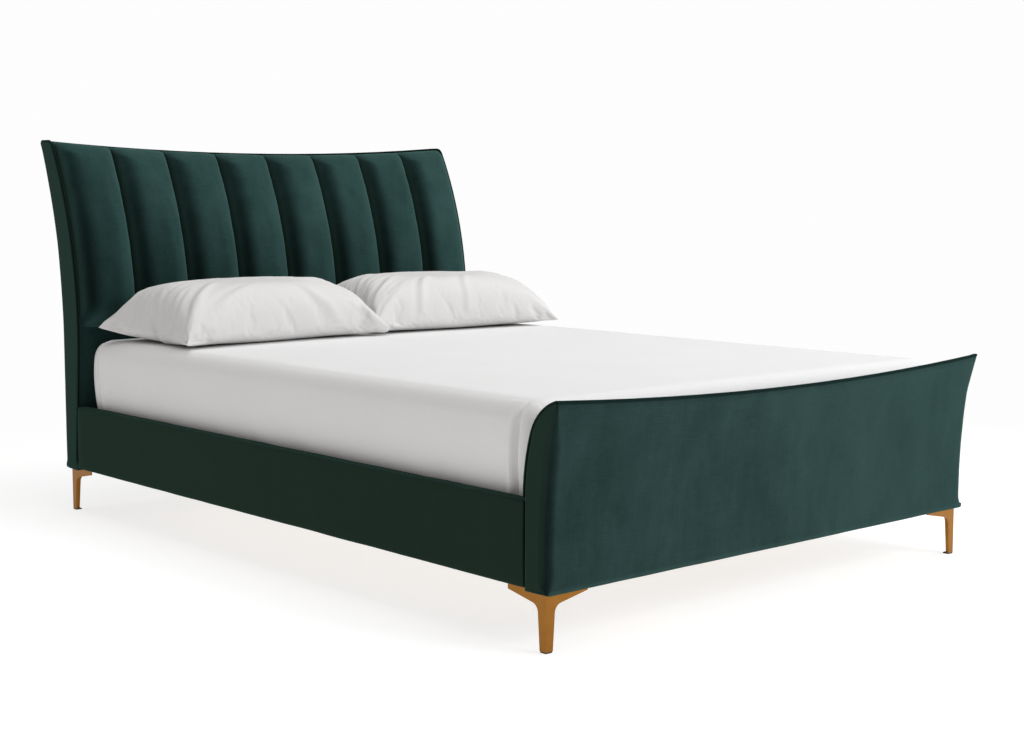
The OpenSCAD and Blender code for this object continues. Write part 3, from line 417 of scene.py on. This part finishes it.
def make_channel(number, low, high):
    """One closed padded roll: a fine front sheet over a plain sheet on the board, joined round the rim."""
    middle, half = (low.x + high.x) / 2, (high.x - low.x) / 2
    bm = bmesh.new()
    for layer in ("front", "board"):
        made = bmesh.ops.create_grid(bm, x_segments=across, y_segments=up, size=1.0)["verts"]
        for v in made:
            u = math.sin(v.co.x * math.pi / 2)
            k = round((v.co.y + 1) / 2 * up)
            x = middle + half * u
            if layer == "front":
                h = bulge(u)
                y = seam_line[k][0] + h * (crown_line[k][0] - seam_line[k][0])
                z = seam_line[k][1] + h * (crown_line[k][1] - seam_line[k][1])
                near_seam = abs(u) ** 6
                pucker = noise.noise(Vector((x * 14 + number, y * 30, z * 30)))
                pucker *= crown_pucker + seam_pucker * near_seam
                loose = noise.noise(Vector((x * 9, z * 4 + 7 * number, 2.0))) * looseness * h
                y += pucker + loose
            else:
                share = min(1.0, k / (rise + arc_steps))
                z = channel_bottom + (board_top - channel_bottom) * share
                y = head_front(z, pad_depth)
                if share == 1.0:
                    over_board = k - rise - arc_steps
                    y += (head_back(board_top, cover_thick) - y) * over_board / (up - rise - arc_steps)
            z += dip_at(x, head_dip) * (z - channel_bottom) / (board_top - channel_bottom)
            v.co = (x, head_y + y, z)
    bmesh.ops.bridge_loops(bm, edges=[e for e in bm.edges if e.is_boundary])
    bmesh.ops.recalc_face_normals(bm, faces=bm.faces)
    return finish_mesh(bm, f"headboard_channel_{number}_velvet")


channel_count = sum(name.startswith("headboard_channel_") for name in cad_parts)
for number in range(1, channel_count + 1):
    low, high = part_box(f"headboard_channel_{number}")
    channel = make_channel(number, low, high)
    fit_out(channel, head_velvet, "frame", "headboard_velvet", f"headboard_channel_{number}")


# Headboard lower pad ----------------------------------------------------------
# A flat pad behind the mattress, between the two side bands: thin wadding under the same velvet,
# pulled round a board and fixed from behind, so its edges are soft.
def rounded_copy(name, node, radius, least_angle, lengths=1):
    """A copy of a plain shape with its sharp edges rounded, cut across the bed into equal lengths."""
    bm = bmesh.new()
    bm.from_mesh(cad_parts[node].data)
    bmesh.ops.remove_doubles(bm, verts=bm.verts, dist=0.00005)
    bmesh.ops.dissolve_limit(bm, angle_limit=math.radians(1), verts=bm.verts, edges=bm.edges)
    bmesh.ops.recalc_face_normals(bm, faces=bm.faces)
    sharp = [e for e in bm.edges
             if len(e.link_faces) == 2 and e.calc_face_angle() > math.radians(least_angle)]
    bmesh.ops.bevel(bm, geom=sharp, offset=radius, offset_type="OFFSET", affect="EDGES", segments=3,
                    profile=0.5, material=-1, clamp_overlap=True)
    for x in spread(-bed_half, bed_half, lengths)[1:-1]:
        bmesh.ops.bisect_plane(bm, geom=bm.verts[:] + bm.edges[:] + bm.faces[:], plane_co=(x, 0, 0),
                               plane_no=(1, 0, 0))
    return finish_mesh(bm, name)


lower_pad = rounded_copy("headboard_lower_pad_velvet", "headboard_lower_pad", radius=0.003, least_angle=50,
                         lengths=24)
fit_out(lower_pad, head_velvet, "frame", "headboard_velvet", "headboard_lower_pad")


# Piping -----------------------------------------------------------------------
# A thin cord covered in a bias strip of velvet, sewn into the seams where the covers
# of both boards turn from the front to the side and over the top. Its velvet is coloured much darker than the
# covers, as painted shade of the seams.
piping_velvet = velvet("piping velvet", deep=(0.003, 0.009, 0.008, 1), lit=(0.009, 0.022, 0.019, 1),
                       patches=0.6, threads=0.3, sheen=0.08)


def dress(material, *nodes):
    """Gives pieces that keep their plain shape their real finish."""
    for name in nodes:
        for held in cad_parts[name].material_slots:
            held.material = material


dress(piping_velvet, "headboard_piping", "footboard_piping")


# Footboard --------------------------------------------------------------------
# A low sleigh footboard: the outer face flares outward, the inner face curves out and rolls
# over to meet it in a dipped top edge. All of it is wrapped in velvet over thin wadding.
foot_velvet = velvet("footboard velvet", deep=(0.009, 0.021, 0.020, 1), lit=(0.025, 0.050, 0.047, 1),
                     patches=1.9, threads=0.6, sheen=0.35, glance=0.4, sink=0.66)
foot_low, foot_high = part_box("footboard_cover")
foot_thick, foot_flare, foot_bend, foot_dip = 0.0635, 0.033, 0.17, 0.025
inner_radius, roll_angle, foot_roll = 0.416, math.radians(18), 0.103
foot_y, foot_top = foot_low.y + foot_flare, foot_high.z
outer_radius = ((foot_top - foot_bend) ** 2 + foot_flare ** 2) / (2 * foot_flare)
inner_y = foot_thick - inner_radius
foot_roll_y = inner_y + (inner_radius - foot_roll) * math.cos(roll_angle)
roll_end = math.acos((-foot_flare - foot_roll_y) / foot_roll)
foot_roll_z = foot_top - foot_roll * math.sin(roll_end)
inner_z = foot_roll_z - (inner_radius - foot_roll) * math.sin(roll_angle)


def foot_outer(z):
    return 0.0 if z < foot_bend else -outer_radius + math.sqrt(outer_radius ** 2 - (z - foot_bend) ** 2)


outer_up = [(foot_outer(z), z) for z in spread(board_bottom, foot_top - 0.004, 30)]
over_top = [(foot_roll_y + foot_roll * math.cos(a), foot_roll_z + foot_roll * math.sin(a))
            for a in spread(roll_end - 0.02, roll_angle, 16)]
inner_down = [(inner_y + inner_radius * math.cos(a), inner_z + inner_radius * math.sin(a))
              for a in spread(roll_angle, 0, 12)[1:]]
inner_down += [(foot_thick, z) for z in spread(inner_z, board_bottom, 6)[1:]]
foot_outline = outer_up + over_top + inner_down

# The outer face turns over the side corners in a wide curve, drawn in tight at the top and bottom
tight_turn, extra_turn, top_fade, bottom_fade = 0.003, 0.021, 0.09, 0.04
foot_turns = [tight_turn + extra_turn * min(1.0, (foot_top - z) / top_fade,
                                            0.3 + (z - board_bottom) / bottom_fade) for _, z in outer_up]
foot_turns += [top_turn] * len(over_top) + [front_turn] * len(inner_down)
footboard = wrapped_board("footboard_velvet", foot_outline, foot_turns, foot_dip, flat_below=0.2,
                          top=foot_top, base_y=foot_y)
soften(footboard, scale=8.0, height=0.0006, seed=11.0)
fit_out(footboard, foot_velvet, "frame", "footboard_velvet", "footboard_cover", "footboard_inner_pad")


# Side rails -------------------------------------------------------------------
# Each side rail is a pine board wrapped in velvet over a little wadding, so its edges are soft
# and its outer face is very slightly full. It is bolted to brackets inside both boards.
def cut_along(bm, axis, cuts):
    """Cuts the long straight edges along one axis into equal lengths, and so the faces between them."""
    long_edges = [e for e in bm.edges if e.calc_length() > 0.08
                  and abs((e.verts[1].co - e.verts[0].co).normalized()[axis]) > 0.999]
    bmesh.ops.subdivide_edges(bm, edges=long_edges, cuts=cuts, use_grid_fill=True)


def soft_block(low, high, radius, segments, cuts=(0, 0, 0)):
    """A closed block with rounded edges; cuts divides its long faces along X, Y and Z."""
    bm = bmesh.new()
    bmesh.ops.create_cube(bm, size=1.0)
    bmesh.ops.scale(bm, vec=high - low, verts=bm.verts)
    bmesh.ops.translate(bm, vec=(low + high) / 2, verts=bm.verts)
    bmesh.ops.bevel(bm, geom=bm.edges, offset=radius, offset_type="OFFSET", affect="EDGES", segments=segments,
                    profile=0.5, material=-1)
    for axis, count in enumerate(cuts):
        if count:
            cut_along(bm, axis, count)
    return bm


# The rail velvet is coloured darker than the board velvets: painted shade for the weaker light on the bed's
# left side
rail_velvet = velvet("side rail velvet", deep=(0.009, 0.019, 0.014, 1), lit=(0.018, 0.034, 0.026, 1),
                     patches=1.4, threads=0.5, sheen=0.25)
rail_edge, rail_fullness = 0.007, 0.0012
for side in ("left", "right"):
    low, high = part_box(f"{side}_rail_cover")
    rail = finish_mesh(soft_block(low, high, rail_edge, 4, (0, 70, 8)), f"{side}_rail_velvet")
    for v, outward in with_normals(rail):
        share = (v.co.z - low.z) / (high.z - low.z)
        v.co.x += outward.x * rail_fullness * math.sin(math.pi * share)
    soften(rail, scale=7.0, height=0.0008, seed=20.0)
    fit_out(rail, rail_velvet, "frame", "rail_velvet", f"{side}_rail_cover")


# Legs -------------------------------------------------------------------------
# Pressed steel angles with a wing under each board, lacquered in satin gold. The edges are
# broken by tumbling, so each piece is a copy of its plain shape with fine rounded edges.
gold, tree, out = new_material("satin gold")
spot = shade(tree, "TexCoord").outputs["Object"]
brushed = stretched_noise(tree, spot, (1.0, 1.0, 0.03), 900.0, 3.0)
smudge = speckle(tree, spot, 38.0, 3.0)
dull = math_node(tree, "MULTIPLY_ADD", brushed, 0.16, math_node(tree, "MULTIPLY_ADD", smudge, 0.12, 0.22))
relief = shade(tree, "Bump", {"Strength": 0.2, "Distance": 0.0002, "Height": brushed})
set_surface(tree, out, {
    "Base Color": mix_colours(tree, smudge, (0.25, 0.105, 0.018, 1), (0.34, 0.150, 0.030, 1)),
    "Metallic": 1.0, "Roughness": dull, "Normal": relief.outputs["Normal"]})

for corner in ("foot_left", "foot_right", "head_left", "head_right"):
    leg = rounded_copy(f"{corner}_leg_gold", f"{corner}_leg", radius=0.0008, least_angle=35)
    leg.modifiers.new("even faces", "WEIGHTED_NORMAL").keep_sharp = True
    fit_out(leg, gold, "frame", "gold", f"{corner}_leg")


# Timber -----------------------------------------------------------------------
# Inside the covers are planed pine rails and ribs under plywood boards, screwed and glued.
# Bent beech slats, pressed and lacquered, lie on the ledgers and the centre rail.
grain, given, made = new_effect(
    "timber grain",
    {"Pale": (0.6, 0.4, 0.2, 1), "Dark": (0.4, 0.24, 0.1, 1), "Along X": 0.0, "Rings": 60.0},
    ("Color", "Roughness", "Height"))
place = shade(grain, "SeparateXYZ", {"Vector": shade(grain, "TexCoord").outputs["Object"]}).outputs
length_way, cross_way = (
    shade(grain, "Mix", {"Factor": given["Along X"], "A": place[plain], "B": place[swapped]},
          data_type="FLOAT").outputs[0] for plain, swapped in ("YX", "XY"))
laid = shade(grain, "CombineXYZ", {"X": cross_way, "Y": math_node(grain, "MULTIPLY", length_way, 0.06),
                                   "Z": place["Z"]}).outputs[0]
wander = speckle(grain, laid, 22.0, 4.0)
ring = math_node(grain, "SINE", math_node(grain, "MULTIPLY", wander, given["Rings"]))
fibre = speckle(grain, laid, 700.0, 3.0)
tone = math_node(grain, "MULTIPLY_ADD", fibre, 0.5, 0.25)
tone = math_node(grain, "MULTIPLY_ADD", ring, 0.22, tone, clamp=True)
grain.links.new(mix_colours(grain, tone, given["Pale"], given["Dark"]), made["Color"])
grain.links.new(math_node(grain, "MULTIPLY_ADD", fibre, 0.2, 0.45), made["Roughness"])
grain.links.new(math_node(grain, "MULTIPLY_ADD", ring, 0.2, fibre), made["Height"])


def timber(name, pale, dark, along_x, rings, coat):
    material, tree, out = new_material(name)
    laid = shade(tree, "Group", node_tree=grain)
    for label, value in (("Pale", pale), ("Dark", dark), ("Along X", along_x), ("Rings", rings)):
        laid.inputs[label].default_value = value
    relief = shade(tree, "Bump", {"Strength": 0.3, "Distance": 0.0004, "Height": laid.outputs["Height"]})
    set_surface(tree, out, {
        "Base Color": laid.outputs["Color"], "Roughness": laid.outputs["Roughness"],
        "Normal": relief.outputs["Normal"], "Coat Weight": coat, "Coat Roughness": 0.25})
    return material


pine_pale, pine_dark = (0.70, 0.50, 0.28, 1), (0.52, 0.32, 0.15, 1)
pine = timber("planed pine", pine_pale, pine_dark, along_x=0.0, rings=46.0, coat=0.0)
pine_across = timber("planed pine across", pine_pale, pine_dark, along_x=1.0, rings=46.0, coat=0.0)
plywood = timber("plywood", (0.58, 0.42, 0.25, 1), (0.44, 0.29, 0.15, 1), along_x=1.0, rings=30.0, coat=0.0)
beech = timber("lacquered beech", (0.68, 0.48, 0.29, 1), (0.56, 0.36, 0.19, 1), along_x=1.0, rings=22.0,
               coat=0.35)
dress(pine, "left_rail_core", "right_rail_core", "left_ledger", "right_ledger", "centre_rail",
      "headboard_ribs", "footboard_ribs")
dress(pine_across, "headboard_top_rail", "headboard_mid_rail", "headboard_bottom_rail",
      "footboard_top_rail", "footboard_bottom_rail")
dress(plywood, "headboard_face_board", "headboard_back_board", "footboard_inner_board",
      "footboard_outer_board")
dress(beech, "slats_left", "slats_right")


# Fittings ---------------------------------------------------------------------
# Zinc-plated brackets, bolts and studs; black moulded slat caps, feet and glides; black
# powder-coated legs under the centre rail.
zinc, tree, out = new_material("zinc plate")
spot = shade(tree, "TexCoord").outputs["Object"]
flake = shade(tree, "TexVoronoi", {"Vector": spot, "Scale": 160.0}).outputs["Color"]
flake = shade(tree, "SeparateColor", {"Color": flake}).outputs[0]
cloud = speckle(tree, spot, 55.0, 4.0)
set_surface(tree, out, {
    "Base Color": mix_colours(tree, cloud, (0.46, 0.47, 0.48, 1), (0.66, 0.67, 0.66, 1)),
    "Metallic": 1.0, "Roughness": math_node(tree, "MULTIPLY_ADD", flake, 0.18, 0.3)})
dress(zinc, "corner_brackets", "centre_rail_brackets", "bracket_bolts", "leg_screws", "front_foot_stud",
      "back_foot_stud")


def black_finish(name, scale, relief_height, rough):
    """A fine-textured black finish with a little dust on it."""
    material, tree, out = new_material(name)
    spot = shade(tree, "TexCoord").outputs["Object"]
    fine = speckle(tree, spot, scale, 2.0)
    dust = speckle(tree, spot, 24.0, 5.0)
    relief = shade(tree, "Bump", {"Strength": 0.4, "Distance": relief_height, "Height": fine})
    set_surface(tree, out, {
        "Base Color": mix_colours(tree, dust, (0.014, 0.015, 0.016, 1), (0.030, 0.031, 0.032, 1)),
        "Roughness": math_node(tree, "MULTIPLY_ADD", fine, 0.2, rough), "Normal": relief.outputs["Normal"]})
    return material


moulded = black_finish("black moulded plastic", scale=1400.0, relief_height=0.0001, rough=0.45)
powder = black_finish("black powder coat", scale=2200.0, relief_height=0.00015, rough=0.35)
dress(moulded, "slat_side_caps", "slat_centre_caps", "front_foot_pad", "back_foot_pad", "leg_glides")
dress(powder, "front_centre_leg", "back_centre_leg")


# Mattress ---------------------------------------------------------------------
# A sprung mattress: pocket springs between two foam pads, in a cotton cover quilted in diamonds.
# It lies loose on the slats, and its sides are drawn in where the sheet is pleated.
def bump_at(distance, width):
    """1 at no distance, fading smoothly to nothing at about twice the width."""
    return math.exp(-(distance / width) ** 2)


def cotton(name, shaded, lit, weave, relief_height, sheen):
    """Plain woven cotton: threads both ways, with soft variation in tone."""
    material, tree, out = new_material(name)
    spot = shade(tree, "TexCoord").outputs["Object"]
    along = stretched_noise(tree, spot, (1.0, 0.05, 0.05), weave)
    over = stretched_noise(tree, spot, (0.05, 1.0, 1.0), weave)
    soft = speckle(tree, spot, 4.0, 4.0)
    threads = math_node(tree, "ADD", along, over)
    tone = math_node(tree, "MULTIPLY_ADD", threads, 0.25, math_node(tree, "MULTIPLY", soft, 0.5), clamp=True)
    relief = shade(tree, "Bump", {"Strength": 0.3, "Distance": relief_height, "Height": threads})
    set_surface(tree, out, {
        "Base Color": mix_colours(tree, tone, shaded, lit),
        "Roughness": math_node(tree, "MULTIPLY_ADD", soft, 0.1, 0.82), "Normal": relief.outputs["Normal"],
        "Specular IOR Level": 0.2, "Sheen Weight": sheen, "Sheen Roughness": 0.5})
    return material


ticking = cotton("quilted ticking", (0.62, 0.61, 0.58, 1), (0.74, 0.73, 0.70, 1), weave=700.0,
                 relief_height=0.0005, sheen=0.1)
wadding = cotton("foam and wadding", (0.66, 0.63, 0.52, 1), (0.76, 0.73, 0.62, 1), weave=240.0,
                 relief_height=0.001, sheen=0.2)
pocket = cotton("spring pockets", (0.58, 0.58, 0.60, 1), (0.70, 0.70, 0.72, 1), weave=320.0,
                relief_height=0.0008, sheen=0.1)
dress(wadding, "mattress_comfort_pads")
dress(pocket, "mattress_springs")


def even_mesh(bm, name, voxel):
    """Turns a closed block into small square faces all over, at their final place."""
    piece = finish_mesh(bm, name)
    remesh = piece.modifiers.new("even faces", "REMESH")
    remesh.mode, remesh.voxel_size, remesh.use_smooth_shade = "VOXEL", voxel, True
    solid = bpy.data.meshes.new_from_object(piece.evaluated_get(bpy.context.evaluated_depsgraph_get()))
    piece.modifiers.clear()
    old, piece.data = piece.data, solid
    bpy.data.meshes.remove(old)
    solid.name = name
    bm = bmesh.new()
    bm.from_mesh(solid)
    for _ in range(3):
        bmesh.ops.smooth_vert(bm, verts=bm.verts, factor=0.5, use_axis_x=True, use_axis_y=True,
                              use_axis_z=True)
    bm.to_mesh(solid)
    bm.free()
    return piece


cover_low, cover_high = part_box("mattress_cover")
mattress_radius, quilt_pitch, quilt_depth = 0.043, 0.11, 0.003
dent_from_end, dent_width, dent_depth = 0.062, 0.03, 0.020
mattress = even_mesh(soft_block(cover_low, cover_high, mattress_radius, 5), "mattress_quilted", voxel=0.018)
for v, outward in with_normals(mattress):
    if abs(outward.z) > 0.9:
        rising, falling = v.co.x + v.co.y, v.co.x - v.co.y
        wave = abs(math.sin(math.pi * rising / quilt_pitch) * math.sin(math.pi * falling / quilt_pitch))
        v.co -= outward * quilt_depth * (1 - wave)
    elif abs(outward.x) > 0.5:
        from_end = min(v.co.y - cover_low.y, cover_high.y - v.co.y)
        v.co -= outward * dent_depth * bump_at(from_end - dent_from_end, dent_width)
fit_out(mattress, ticking, "mattress", "ticking", "mattress_cover")


# Fitted sheet -----------------------------------------------------------------
# White cotton cut to cover the top and sides and to tuck under, with elastic round the hem
# and a small pleat at each corner.
sheet_low, sheet_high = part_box("fitted_sheet")
sheet_radius, sheet_thick, tuck = 0.045, 0.0012, 0.17
rail_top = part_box("left_rail_cover")[1].z
white_cotton = cotton("white sheet cotton", (0.76, 0.755, 0.75, 1), (0.84, 0.84, 0.84, 1), weave=900.0,
                      relief_height=0.0003, sheen=0.15)
sheet = even_mesh(soft_block(sheet_low, sheet_high, sheet_radius, 8), "fitted_sheet_cotton", voxel=0.0095)

# The underside is open inside the tuck, and the cloth is finer at the pleats
bm = bmesh.new()
bm.from_mesh(sheet.data)
under = [f for f in bm.faces if f.normal.z < -0.99
         and all(abs(v.co.x) < sheet_high.x - tuck and sheet_low.y + tuck < v.co.y < sheet_high.y - tuck
                 for v in f.verts)]
bmesh.ops.delete(bm, geom=under, context="FACES")
fine_zone = 0.11
pleated = {e for f in bm.faces
           if abs(f.normal.x) > 0.5 and min(f.calc_center_median().y - sheet_low.y,
                                            sheet_high.y - f.calc_center_median().y) < fine_zone
           for e in f.edges}
bmesh.ops.subdivide_edges(bm, edges=list(pleated), cuts=2, use_grid_fill=True)
bm.to_mesh(sheet.data)
bm.free()

# Each pleat is a narrow fold beside a low ridge; both slant away from the end on the way down
fold_from_end, fold_slant, fold_width, fold_depth = 0.052, 0.02, 0.006, 0.018
ridge_from_end, ridge_slant, ridge_width, ridge_height = 0.065, 0.024, 0.008, 0.006
side_fullness = 0.008
for v, outward in with_normals(sheet):
    x, y, z = v.co
    lift = 0.0016 * noise.noise(Vector((x * 2.2, y * 2.2, z * 5))) + 0.0006 * noise.noise(v.co * 9)
    below = (sheet_high.z - z) / (sheet_high.z - sheet_low.z)
    if abs(outward.z) < 0.5:
        run = y if abs(outward.x) > 0.7 else x
        slant = run * 10 + below * 2.2 + 0.6 * noise.noise(Vector((run * 3, z * 2, 5.0)))
        lift += 0.0022 * below * noise.noise(Vector((slant, 0.0, 9.0 if x < 0 else 3.0)))
    for end_y, inward in ((sheet_low.y, 1), (sheet_high.y, -1)):
        from_end = (y - end_y) * inward
        if abs(outward.x) > 0.5 and from_end < 0.12:
            fold = bump_at(from_end - fold_from_end - fold_slant * below, fold_width)
            ridge = bump_at(from_end - ridge_from_end - ridge_slant * below, ridge_width)
            lift += min(1.0, below * 3.5) * (ridge_height * ridge - fold_depth * fold)
    if abs(outward.x) > 0.5 and z > rail_top:
        lift += side_fullness * math.sin(math.pi * (z - rail_top) / (sheet_high.z - rail_top))
    v.co += outward * lift
skin = sheet.modifiers.new("cloth thickness", "SOLIDIFY")
skin.thickness, skin.offset = sheet_thick, 1.0
fit_out(sheet, white_cotton, "mattress", "sheet_cotton", "fitted_sheet")


# Pillows ----------------------------------------------------------------------
# Two soft fibre pillows in plain white cotton cases, dropped flat against the headboard.
# Each case is two cloths sewn together round the edge and blown up by its filling.
case_cotton = cotton("pillow case cotton", (0.63, 0.622, 0.613, 1), (0.71, 0.702, 0.693, 1), weave=900.0,
                     relief_height=0.0003, sheen=0.1)


def sew_pillow(name, width, depth, seed):
    """Two sheets joined round the edge, in a mesh that starts almost flat."""
    bm = bmesh.new()
    for way in (1, -1):
        made = bmesh.ops.create_grid(bm, x_segments=104, y_segments=68, size=0.5)["verts"]
        for v in made:
            rim = (1 - (2 * v.co.x) ** 4) * (1 - (2 * v.co.y) ** 4)
            wobble = noise.noise(Vector((v.co.x * 11, v.co.y * 8, seed + way * 3.1)))
            height = 0.012 * math.sqrt(max(rim, 0)) + 0.004 * rim * wobble
            v.co = (v.co.x * width, v.co.y * depth, way * height)
        if way < 0:
            bmesh.ops.reverse_faces(bm, faces=list({f for v in made for f in v.link_faces}))
    bmesh.ops.remove_doubles(bm, verts=bm.verts, dist=0.0005)
    bmesh.ops.recalc_face_normals(bm, faces=bm.faces)
    return finish_mesh(bm, name)


def blow_up(piece, pressure, frames, thick_enough):
    """Fills the case by cloth simulation, stopping once it is as thick as the real pillow."""
    cloth = piece.modifiers.new("filling", "CLOTH")
    cloth.settings.quality = 6
    cloth.settings.mass = 0.25
    cloth.settings.tension_stiffness, cloth.settings.compression_stiffness = 40, 6
    cloth.settings.shear_stiffness, cloth.settings.bending_stiffness = 6, 0.02
    cloth.settings.use_pressure = True
    cloth.settings.uniform_pressure_force = pressure
    cloth.settings.effector_weights.gravity = 0
    cloth.point_cache.frame_start, cloth.point_cache.frame_end = 1, frames
    shape = None
    for step in range(1, frames + 1):
        scene.frame_set(step)
        solid = piece.evaluated_get(bpy.context.evaluated_depsgraph_get())
        shape = [v.co.copy() for v in solid.data.vertices]
        if max(p.z for p in shape) - min(p.z for p in shape) > thick_enough:
            break
    piece.modifiers.remove(cloth)
    for v, p in zip(piece.data.vertices, shape):
        v.co = p
    scene.frame_set(1)


def crease(piece, half_width, half_depth, folds, seed):
    """Raises soft folds in the upper cloth. Each runs from one point to another, given as shares of
    the half size, and has a width, as such a share, and a height in metres."""
    for v, outward in with_normals(piece):
        if outward.z < 0.1:
            continue
        lift = 0.0
        for x0, y0, x1, y1, width, height in folds:
            start, along = Vector((x0, y0)), Vector((x1 - x0, y1 - y0))
            here = Vector((v.co.x / half_width, v.co.y / half_depth)) - start
            t = here.dot(along) / along.length_squared
            drift = 0.03 * noise.noise(Vector((t * 3 + seed, x0 * 5, y0 * 5)))
            side = (along.x * here.y - along.y * here.x) / along.length + drift
            share = max(0.0, 1 - (2 * t - 1) ** 2)
            lift += height * share * (bump_at(side, width) - 0.6 * bump_at(side - 1.5 * width, width))
        v.co += outward * lift


# Long soft folds fan in from the corners
pillow_folds = {
    "left": [(-0.95, -0.9, -0.35, -0.1, 0.045, 0.006), (-0.9, -0.95, -0.1, -0.45, 0.04, 0.005),
             (0.98, -0.75, 0.25, -0.2, 0.045, 0.007), (0.98, -0.4, 0.35, 0.05, 0.04, 0.006),
             (0.98, 0.25, 0.45, 0.6, 0.04, 0.005), (0.6, -0.95, 0.15, -0.45, 0.04, 0.005),
             (-0.97, 0.8, -0.45, 0.4, 0.045, 0.005)],
    "right": [(-0.98, -0.75, -0.35, -0.1, 0.04, 0.007), (-0.55, -0.97, -0.15, -0.3, 0.035, 0.006),
              (0.0, -0.97, 0.2, -0.3, 0.035, 0.004), (-0.98, 0.1, -0.4, 0.5, 0.04, 0.005),
              (0.97, -0.85, 0.35, -0.05, 0.045, 0.007), (0.97, -0.55, 0.45, 0.2, 0.04, 0.006),
              (0.95, 0.8, 0.5, 0.5, 0.045, 0.005)]}

# Finer folds run in from the ends, where the case is slack: many from one end, half as many from
# the other. Each pillow has the end they start at, their number and their slope
fine_ends = {"left": (1, 17, -0.25), "right": (-1, 22, 0.45)}
near_end, far_end = 0.98, 0.97
for side, (end, count, slope) in fine_ends.items():
    for k in range(count):
        jitter = noise.noise(Vector((k * 1.7, 4.0 if side == "left" else 9.0, 0.5)))
        start_y = -0.92 + 1.8 * (k + 0.5 * jitter) / count
        length = 0.55 + 0.5 * jitter
        pillow_folds[side].append((end * near_end, start_y, end * (near_end - length),
                                   start_y - end * slope * length + 0.12, 0.022, 0.0035))
        if k % 2:
            pillow_folds[side].append((-end * far_end, start_y, -end * (far_end - 0.8 * length),
                                       start_y * 0.6 + 0.1, 0.024, 0.0028))

case_width, case_depth = 0.745, 0.485
rest_depth, sink_limit, toward_foot = 0.045, 0.6, 0.012
for side, turn, seed in (("left", math.radians(3.0), 2.0), ("right", math.radians(-4.0), 8.0)):
    low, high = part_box(f"{side}_pillow_case")
    size = high - low
    pillow = sew_pillow(f"{side}_pillow_soft", case_width, case_depth, seed)
    blow_up(pillow, pressure=4.0, frames=40, thick_enough=0.19)
    half_width = max(v.co.x for v in pillow.data.vertices)
    half_depth = max(v.co.y for v in pillow.data.vertices)
    half_thick = max(v.co.z for v in pillow.data.vertices)
    shrink = min(1.0, (size.x + 0.03) / (2 * half_width))
    # The filling sinks under its own weight: flat below, fuller toward the headboard, corners down
    for v in pillow.data.vertices:
        u, w = v.co.x / half_width, v.co.y / half_depth
        upper = v.co.z / half_thick
        if upper > 0:
            rise = (1.06 * size.z - rest_depth) * upper ** 1.12 * (1 + 0.05 * w - 0.04 * u * u)
        else:
            rise = rest_depth * upper
        settle = 0.018 * (abs(u) ** 5 + abs(w) ** 5) * (1 if w < 0 else 0.2)
        v.co.z = rise - min(settle, rest_depth * sink_limit)
    crease(pillow, half_width, half_depth, pillow_folds[side], seed)
    smooth = pillow.modifiers.new("rounded cloth", "SUBSURF")
    smooth.levels = smooth.render_levels = 1
    lowest = min(v.co.z for v in pillow.data.vertices)
    place = Vector(((low.x + high.x) / 2, (low.y + high.y) / 2 - toward_foot, low.z - lowest))
    placed = Matrix.Translation(place) @ Matrix.Rotation(turn, 4, "Z")
    pillow.data.transform(placed @ Matrix.Scale(shrink, 4))
    fit_out(pillow, case_cotton, f"{side}_pillow_body", "case_cotton", f"{side}_pillow_case",
            f"{side}_pillow")
